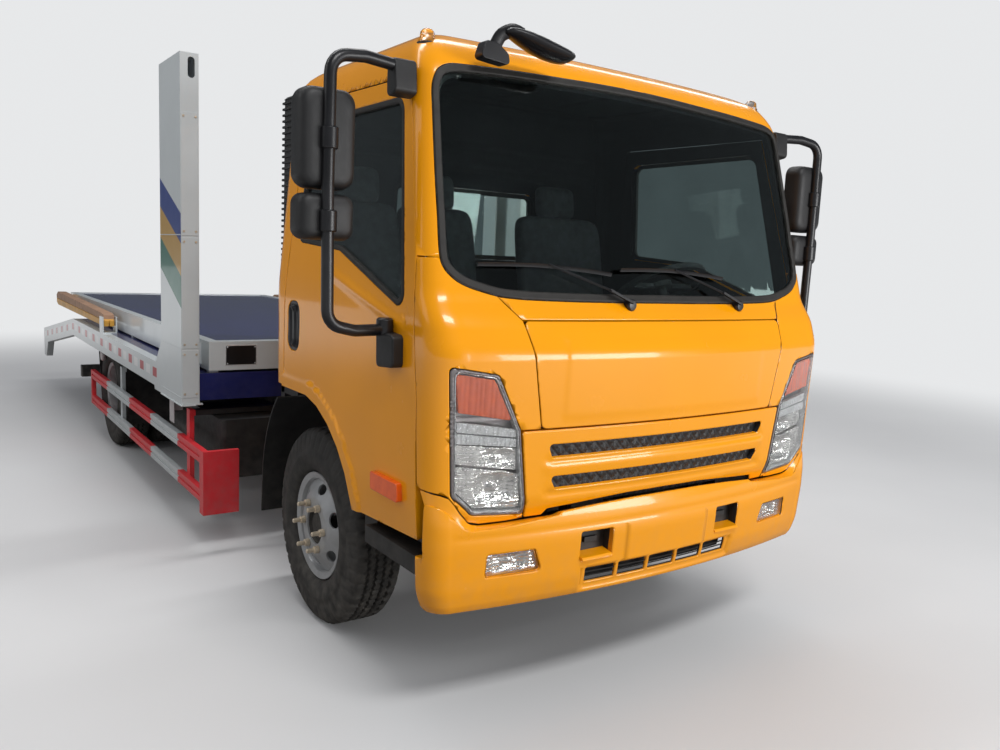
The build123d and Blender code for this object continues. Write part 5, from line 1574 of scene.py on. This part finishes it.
for side_name in ("left", "right"):
    def sided(shape, name, slot, material, replaced=(), bevel=0.0, angle=40):
        chosen = shape if side_name == "left" else shape.flipped()
        return chosen.piece(name, f"door_{side_name}", slot, material, replaced, bevel, 3, angle)

    arm = Shape()
    path = bend([(1004, -768, 2216), (1120, -785, 2222), (1243, -800, 2206), (1246, -800, 1800), (1240, -800, 1372),
                 (1140, -790, 1350), (1016, -780, 1352)], 95, 14)
    arm.tube(path, 20, 18)
    for z in (1955, 1700):
        arm.lathe([(-34, 0), (-34, 25), (-30, 28), (30, 28), (34, 25), (34, 0)], (1243, -800, z), "z", 20)
        arm.box((1218, 1268), (-800, -772), (z - 26, z + 26))
    arm.lathe([(-28, 0), (-28, 24), (-22, 29), (24, 29), (30, 22), (30, 0)], (1024, -780, 1362), "z", 24)
    sided(arm, f"mirror_arm_{side_name}", "black_plastic", gloss_black, [f"door_mirror_{side_name}"], 1.5)
    feet = Shape()
    feet.prism(rounded([(-872, 1232), (-750, 1222), (-744, 1348), (-868, 1340)], 18), "x", 990, 1040)
    feet.prism(rounded([(-800, 2128), (-735, 2116), (-735, 2236), (-790, 2240)], 18), "x", 935, 1018)
    sided(feet, f"mirror_feet_{side_name}", "black_plastic", black_plastic, (), 7)
    heads = Shape()
    glasses = Shape()
    for (low, high), corner in (((1800, 2112), 46), ((1640, 1786), 34)):
        outline = rounded([(1142, low), (1332, low), (1332, high), (1142, high)], corner, 5)
        rows = [(-792, 40), (-790, 22), (-784, 10), (-772, 3), (-750, 0), (-712, 0), (-702, 2), (-699, 6), (-704, 9)]
        heads.add(*loft_box(outline, rows))
        glass_outline = rounded([(1152, low + 10), (1322, low + 10), (1322, high - 10), (1152, high - 10)],
                                corner - 8, 5)
        glasses.prism(glass_outline, "y", -706, -702)
    sided(heads, f"mirror_heads_{side_name}", "black_plastic", black_plastic)
    sided(glasses, f"mirror_glasses_{side_name}", "glass", mirror_glass, (), 1)

    marker_outline = rounded([(-884, 772), (-680, 772), (-676, 832), (-684, 838), (-880, 838)], 9)
    marker = Shape().prism(marker_outline, "x", 992, 1016)
    sided(marker, f"side_marker_{side_name}", "lamp_lens", amber_glass, (), 4)


def make_handle(name, turn_over):
    inner = cab_outline([("s", 47, 1182), ("s", 173, 1182), ("s", 173, 1390), ("s", 47, 1390)], 50)

    def dish(uw):
        a, b = np.abs(uw[:, 0]) - abs(inner_middle[0]), uw[:, 1] - inner_middle[1]
        depth = 16.0 * smooth_step((1 - np.maximum(np.abs(a) / 56, np.abs(b) / 98)) / 0.45)
        grip = 17.0 * smooth_step((20 - np.abs(a - 6)) / 10) * smooth_step((92 - np.abs(b)) / 14)
        return grip - depth
    inner_middle = np.mean(np.array(inner), axis=0)
    cup = panel(f"door_handle_{name}", [turn_over(inner)], cab_place, 5, 6, 2, dish, -1.5)
    finish_piece(cup, f"door_{name}", gloss_black)


both_sides(make_handle)


# Wipers and the mirror above the windscreen

def glass_point(u, w, lift):
    base = cab_place(np.array([(u, w)], float))
    du = cab_place(np.array([(u + 2.0, w)])) - cab_place(np.array([(u - 2.0, w)]))
    dw = cab_place(np.array([(u, w + 2.0)])) - cab_place(np.array([(u, w - 2.0)]))
    return (base + unit(np.cross(du, dw)) * lift)[0]


wiper_arms = Shape()
for pivot, (blade_start, blade_end) in ((-178, (-815, -250)), (432, (-205, 360))):
    at = glass_point(pivot, 1452, 12)
    wiper_arms.lathe([(-34, 0), (-34, 20), (4, 22), (10, 17), (12, 0)], tuple(at), "y", 20, -1)
    start = glass_point(pivot, 1452, 24)
    knee = glass_point(pivot - 90, 1506, 26)
    hook = glass_point(pivot - 355, 1588, 24)
    wiper_arms.sweep([start, (start + knee) / 2, knee], [(-11, -4), (11, -4), (9, 5), (-9, 5)])
    wiper_arms.tube([knee, (knee + hook) / 2, hook], 4.5, 8)
    blade = [glass_point(u, 1588 + 12 * math.sin(math.pi * t) - 6 - 18 * t, 16)
             for t, u in ((t, blade_start + (blade_end - blade_start) * t) for t in np.linspace(0, 1, 16))]
    wiper_arms.sweep(blade, [(-3, -7), (3, -7), (5, 3), (8, 6), (-8, 6), (-5, 3)])
wiper_arms.piece("wiper_arms", "cab", "black_plastic", gloss_black, ["wipers"])

high_mirror = Shape()
high_mirror.prism(rounded([(-762, 2262), (-640, 2252), (-650, 2290), (-694, 2318), (-742, 2320)], 14), "y", -905, -856)
path = bend([(-700, -884, 2300), (-684, -900, 2345), (-648, -915, 2366), (-610, -920, 2354)], 40, 10)
high_mirror.sweep(path, [(24 * math.cos(t), 12 * math.sin(t)) for t in np.linspace(0, 2 * math.pi, 14, endpoint=False)],
                  up=(0, 1, 0))
high_mirror.piece("front_mirror_arm", "cab", "black_plastic", gloss_black, ["front_mirror"], 3)


def leaf(rows, sides=20):
    """Shell lofted through ellipses: x, centre z, half height, half depth, centre y."""
    verts, faces = [], []
    for x, z, high, deep, y in rows:
        for k in range(sides):
            t = 2 * math.pi * k / sides
            verts.append((x, y + deep * math.cos(t), z + high * math.sin(t)))
    for r in range(len(rows) - 1):
        for k in range(sides):
            m = (k + 1) % sides
            faces.append((r * sides + k, (r + 1) * sides + k, (r + 1) * sides + m, r * sides + m))
    faces += [tuple(range(sides)), tuple((len(rows) - 1) * sides + k for k in range(sides))[::-1]]
    return verts, faces


head_rows = [(-676, 2355, 6, 14, -915), (-664, 2356, 13, 30, -916), (-640, 2353, 18, 42, -918),
             (-600, 2343, 24, 54, -922), (-550, 2330, 28, 62, -925), (-500, 2319, 27, 66, -926),
             (-455, 2312, 24, 64, -926), (-428, 2309, 20, 58, -926), (-420, 2308, 14, 52, -926)]
head = Shape().add(*leaf(head_rows))
head.piece("front_mirror_head", "cab", "black_plastic", gloss_black)


# Seats

def seat_pad(x, y, z, radius, lean=0.0):
    """Soft block made from a rounded box whose faces bulge, leaning back by a share of its height."""
    steps = 9
    verts, faces = [], []
    index = {}
    mid = np.array([(x[0] + x[1]) / 2, (y[0] + y[1]) / 2, (z[0] + z[1]) / 2])
    half = np.array([x[1] - x[0], y[1] - y[0], z[1] - z[0]]) / 2.0

    def vertex(p):
        key = tuple(np.round(p, 5))
        if key not in index:
            q = np.array(p)
            core = np.clip(q * half, -(half - radius), half - radius)
            away = q * half - core
            length = np.linalg.norm(away)
            spot = core + away / max(length, 1e-6) * min(length, radius) if length > 1e-6 else core
            bulge = 1 + 0.05 * (1 - q[0]**2) * (1 - q[2]**2) + 0.04 * (1 - q[1]**2) * (1 - q[2]**2)
            spot = spot * bulge + mid
            spot[1] += lean * (spot[2] - z[0])
            index[key] = len(verts)
            verts.append(tuple(spot))
        return index[key]

    grid = np.linspace(-1, 1, steps)
    for axis in range(3):
        for way in (-1.0, 1.0):
            for i in range(steps - 1):
                for k in range(steps - 1):
                    quad = []
                    for a, b in ((i, k), (i + 1, k), (i + 1, k + 1), (i, k + 1)):
                        p = [0.0, 0.0, 0.0]
                        p[axis], p[(axis + 1) % 3], p[(axis + 2) % 3] = way, grid[a], grid[b]
                        quad.append(vertex(p))
                    faces.append(tuple(quad))
    return verts, faces


seat_stand = Shape()
for x0, x1 in ((-860, -60), (230, 760)):
    seat_stand.box((x0 + 40, x1 - 40), (-280, 170), (1030, 1200))
seat_stand.piece("seat_stands", "cab", "black_plastic", black_plastic, ["seats"], 8)
pads = Shape()
for x0, x1 in ((-860, -465), (-455, -60), (230, 760)):
    pads.add(*seat_pad((x0, x1), (-330, 150), (1185, 1325), 44))
    pads.add(*seat_pad((x0, x1), (70, 180), (1290, 1835), 46, 0.19))
for rest_x in (-660, -260, 495):
    pads.add(*seat_pad((rest_x - 115, rest_x + 115), (205, 285), (1830, 1995), 34, 0.12))
seat_pads = pads.piece("seat_pads", "cab", "seat_fabric", fabric, angle=70)
smooth = seat_pads.modifiers.new("soft", "SUBSURF")
smooth.levels = smooth.render_levels = 1


# Black printed border inside the windscreen

BORDER_HALF = [(0, 1496), (400, 1498), (699, 1507), (800, 1522), (850, 1548), (880, 1585), (890, 1640), (892, 1771),
               (880, 1972), (872, 2120), (862, 2165), (830, 2196), (770, 2210), (500, 2222), (0, 2230)]
border_inner = [cab_point("f", x, z) for x, z in BORDER_HALF]
border_inner = smooth_loop(border_inner + [(-u, w) for u, w in border_inner[-2:0:-1]])
border = panel("windscreen_border", [resample([tuple(p) for p in shrink(windscreen_hole, 12)], 30), border_inner],
               cab_place, 2, 45, 0, None, -15)
finish_piece(border, "cab", gloss_black)


# Air intake with fine ribs

intake = Shape()
intake.box((-880, -734), (434, 556), (1300, 2286))
for k in range(37):
    z = 1310 + k * 26.5
    intake.box((-889, -725), (426, 564), (z, z + 11))
intake.prism([(-884, 2286), (-730, 2286), (-748, 2302), (-866, 2302)], "y", 430, 560)
intake.box((-840, -750), (450, 546), (905, 1302))
intake.box((-840, -780), (540, 670), (905, 960)).box((-840, -780), (620, 670), (640, 960))
intake.box((-840, -427), (620, 670), (640, 690))
intake.piece("air_intake_ribs", "chassis", "black_plastic", black_plastic, ["air_intake"], 3)


# Deck fittings: support arms, blank plate, column covers, rear lamps

for side_name in ("left", "right"):
    lower, pad = Shape(), Shape()
    for x0, x1 in ((1061, 1094), (1102, 1135)):
        lower.prism([(3612, 966), (6000, 970), (6086, 990), (6086, 1030), (3640, 1012), (3612, 1010)], "x", x0, x1)
    lower.prism([(3640, 990), (6076, 1006), (6076, 1018), (3640, 1008)], "x", 1090, 1106)
    lower.lathe([(-38, 0), (-38, 30), (38, 30), (38, 0)], (1098, 3650, 1005), "x", 28)
    lower.lathe([(-58, 0), (-58, 30), (-52, 35), (-4, 35), (0, 30), (0, 0)], (1062, 6050, 1035), "x", 28)
    pad.prism([(3625, 1013), (6086, 1032), (6086, 1066), (6000, 1098), (3700, 1064), (3625, 1054)], "x", 1060, 1136)
    chosen = (lower, pad) if side_name == "left" else (lower.flipped(), pad.flipped())
    chosen[0].piece(f"support_beam_{side_name}", f"support_arm_{side_name}", "arm_yellow", arm_yellow,
                    [f"support_arm_{side_name}"], 3)
    chosen[1].piece(f"support_pad_{side_name}", f"support_arm_{side_name}", "arm_yellow", tan_top, (), 4)

plate = Shape().box((-907, -738), (1341.5, 1346), (955, 1061))
plate.piece("blank_plate", "upper_deck", "black_plastic", gloss_black, bevel=1.5)
plate_edge = Shape().box((-912, -733), (1343, 1347), (950, 1066))
for x in (-900, -745):
    for z in (962, 1054):
        plate_edge.lathe([(-4, 0), (-4, 4), (-1, 4), (-1, 0)], (x, 1342, z), "y", 12)
plate_edge.piece("blank_plate_edge", "upper_deck", "chrome_rod", lamp_bright, bevel=1)

covers, bolts = Shape(), Shape()
for low, high in ((782, 1042), (1052, 1645), (1656, 2292)):
    covers.twin_box((1060, 1146), (1327.5, 1331), (low, high))
    covers.twin_box((1148.5, 1151.5), (1336, 1764), (low, low + 5))
    for z in (low + 22, high - 22):
        for x in (-1134, -1072, 1072, 1134):
            bolts.lathe([(-4, 0), (-4, 6), (0, 6.5), (0, 0)], (x, 1327.5, z), "y", 6)
covers.piece("column_covers", "platform", "bed_white", bed_white, bevel=1)
bolts.piece("column_bolts", "platform", "chrome_rod", bolt_steel)
sign_white = surface("sign_pale", (0.55, 0.50, 0.50), (0.4, 0.6), variation=0.1, scale=20.0,
                     grain=0.1, grain_scale=400.0)
signs = Shape().twin_box((1096, 1100), (1700, 1800), (572, 700))
for x in (-1080, 1080):
    signs.lathe([(-12, 0), (-12, 40), (4, 46), (14, 40), (18, 0)], (x, 4000, 700), "x", 28, 1 if x > 0 else -1)
signs.twin_box((1040, 1096), (1740, 1760), (640, 700)).twin_box((1040, 1070), (3985, 4015), (690, 710))
signs.piece("side_signs", "chassis", "bed_white", sign_white, bevel=1.5)
foot = Shape().twin_box((1076, 1156), (1318, 1776), (738, 744))
foot.piece("column_feet", "platform", "bed_white", bed_white, bevel=1)

# Rear lamps: (name, inner x, outer x, lens)
REAR_LAMPS = (("amber", 612, 716, amber_glass), ("red", 724, 834, red_lens), ("clear", 842, 940, lamp_chrome))
for lamp_name, x0, x1, lens in REAR_LAMPS:
    lamp = Shape().twin_box((x0, x1), (5006, 5018), (416, 484))
    lamp.piece(f"rear_lamp_{lamp_name}", "chassis", "lamp_lens", lens, bevel=4)


def add_tread(material, pitch=0.036):
    """Raised lozenges on the upward faces of a painted floor."""
    tree = material.node_tree
    shader = tree.nodes["Principled BSDF"]
    split = node(tree, "ShaderNodeSeparateXYZ")
    tree.links.new(object_place(tree), split.inputs[0])
    waves = []
    for kind in ("ADD", "SUBTRACT"):
        lean = math_node(tree, kind, split.outputs["X"], split.outputs["Y"])
        waves.append(math_node(tree, "SINE", math_node(tree, "MULTIPLY", lean, math.pi / pitch)))
    height = math_node(tree, "ABSOLUTE", math_node(tree, "MULTIPLY", waves[0], waves[1]))
    height = math_node(tree, "MULTIPLY", math_node(tree, "SUBTRACT", height, 0.45, True), 2.5, True)
    slope = node(tree, "ShaderNodeSeparateXYZ")
    tree.links.new(own_normal(tree), slope.inputs[0])
    height = math_node(tree, "MULTIPLY", height, math_node(tree, "GREATER_THAN", slope.outputs["Z"], 0.7))
    before = shader.inputs["Normal"].links[0].from_socket
    bump(tree, shader, height, 0.6, 0.003, before)


add_tread(bed_blue)


floor_material, floor_tree, floor_shader = new_material("studio_floor")
floor_place = object_place(floor_tree)
floor_tone = ramp(floor_tree, noise(floor_tree, floor_place, 0.6, 3.0),
                  [(0.3, (0.70, 0.70, 0.70)), (0.7, (0.74, 0.74, 0.74))])
seen_floor = node(floor_tree, "ShaderNodeLightPath").outputs["Is Camera Ray"]
floor_tree.links.new(mix(floor_tree, seen_floor, (0.26, 0.25, 0.24), floor_tone), floor_shader.inputs["Base Color"])
floor_shader.inputs["Roughness"].default_value = 0.8
BACKDROP = (0.80, 0.81, 0.82)
far_glow = node(floor_tree, "ShaderNodeEmission")
far_glow.inputs["Color"].default_value = (*BACKDROP, 1.0)
distance = node(floor_tree, "ShaderNodeVectorMath", operation="LENGTH")
floor_tree.links.new(floor_place, distance.inputs[0])
fade = node(floor_tree, "ShaderNodeMapRange", interpolation_type="SMOOTHSTEP")
fade.inputs["From Min"].default_value = 5.0
fade.inputs["From Max"].default_value = 11.0
floor_tree.links.new(distance.outputs["Value"], fade.inputs["Value"])
blend_floor = node(floor_tree, "ShaderNodeMixShader")
floor_tree.links.new(fade.outputs["Result"], blend_floor.inputs[0])
floor_tree.links.new(floor_shader.outputs[0], blend_floor.inputs[1])
floor_tree.links.new(far_glow.outputs[0], blend_floor.inputs[2])
floor_tree.links.new(blend_floor.outputs[0], floor_tree.nodes["Material Output"].inputs["Surface"])
floor_mesh = bpy.data.meshes.new("studio_floor")
floor_mesh.from_pydata([(-60, -60, -0.002), (60, -60, -0.002), (60, 60, -0.002), (-60, 60, -0.002)], [],
                       [(0, 1, 2, 3)])
floor_mesh.materials.append(floor_material)
floor_object = bpy.data.objects.new("studio_floor", floor_mesh)
bpy.context.scene.collection.objects.link(floor_object)

world = bpy.data.worlds.new("studio_world")
bpy.context.scene.world = world
world.use_nodes = True
world_tree = world.node_tree
backdrop = world_tree.nodes["Background"]
backdrop.inputs["Color"].default_value = (0.93, 0.95, 1.0, 1.0)
backdrop.inputs["Strength"].default_value = 0.36
seen = world_tree.nodes.new("ShaderNodeBackground")
seen.inputs["Color"].default_value = (*BACKDROP, 1.0)
seen.inputs["Strength"].default_value = 1.0
shine_world = world_tree.nodes.new("ShaderNodeBackground")
shine_world.inputs["Color"].default_value = (0.80, 0.88, 0.95, 1.0)
shine_world.inputs["Strength"].default_value = 0.12
shiny = world_tree.nodes.new("ShaderNodeMixShader")
choose = world_tree.nodes.new("ShaderNodeMixShader")
path_kind = world_tree.nodes.new("ShaderNodeLightPath")
world_tree.links.new(path_kind.outputs["Is Camera Ray"], choose.inputs[0])
world_tree.links.new(path_kind.outputs["Is Glossy Ray"], shiny.inputs[0])
world_tree.links.new(backdrop.outputs[0], shiny.inputs[1])
world_tree.links.new(shine_world.outputs[0], shiny.inputs[2])
world_tree.links.new(shiny.outputs[0], choose.inputs[1])
world_tree.links.new(seen.outputs[0], choose.inputs[2])
world_tree.links.new(choose.outputs[0], world_tree.nodes["World Output"].inputs["Surface"])
bpy.context.scene.view_settings.view_transform = "Standard"

area_light("key_softbox", (-0.9, -9.2, 8.4), (4.6, 1.6), 390, (0, -3.0, 1.0))
area_light("side_softbox", (-8.5, 0.5, 5.0), (6.5, 3.0), 60, (0, 0.0, 1.0))
area_light("top_strip_left", (1.6, -1.0, 6.4), (0.7, 9.0), 120, (0, -1.0, 0))
area_light("top_strip_right", (-1.8, -1.0, 6.4), (0.7, 9.0), 105, (0, -1.0, 0))
area_light("front_strip", (2.8, -9.5, 1.6), (3.4, 1.8), 210, (0, -3.0, 0.7))

camera_data = bpy.data.cameras.new("photo_camera")
camera_data.lens = 30.25
camera_data.sensor_width = 36.0
camera_data.clip_end = 200
camera = bpy.data.objects.new("photo_camera", camera_data)
yaw, pitch, roll = math.radians(35.235), math.radians(7.785), math.radians(2.609)
ahead = Vector((math.sin(yaw) * math.cos(pitch), math.cos(yaw) * math.cos(pitch), -math.sin(pitch)))
level = ahead.cross(Vector((0, 0, 1))).normalized()
right = math.cos(roll) * level + math.sin(roll) * level.cross(ahead)
upward = right.cross(ahead)
camera.matrix_world = Matrix((
    (right.x, upward.x, -ahead.x, -2.3336),
    (right.y, upward.y, -ahead.y, -6.2213),
    (right.z, upward.z, -ahead.z, 1.6019),
    (0, 0, 0, 1),
))
bpy.context.scene.collection.objects.link(camera)
bpy.context.scene.camera = camera

bpy.context.view_layer.update()
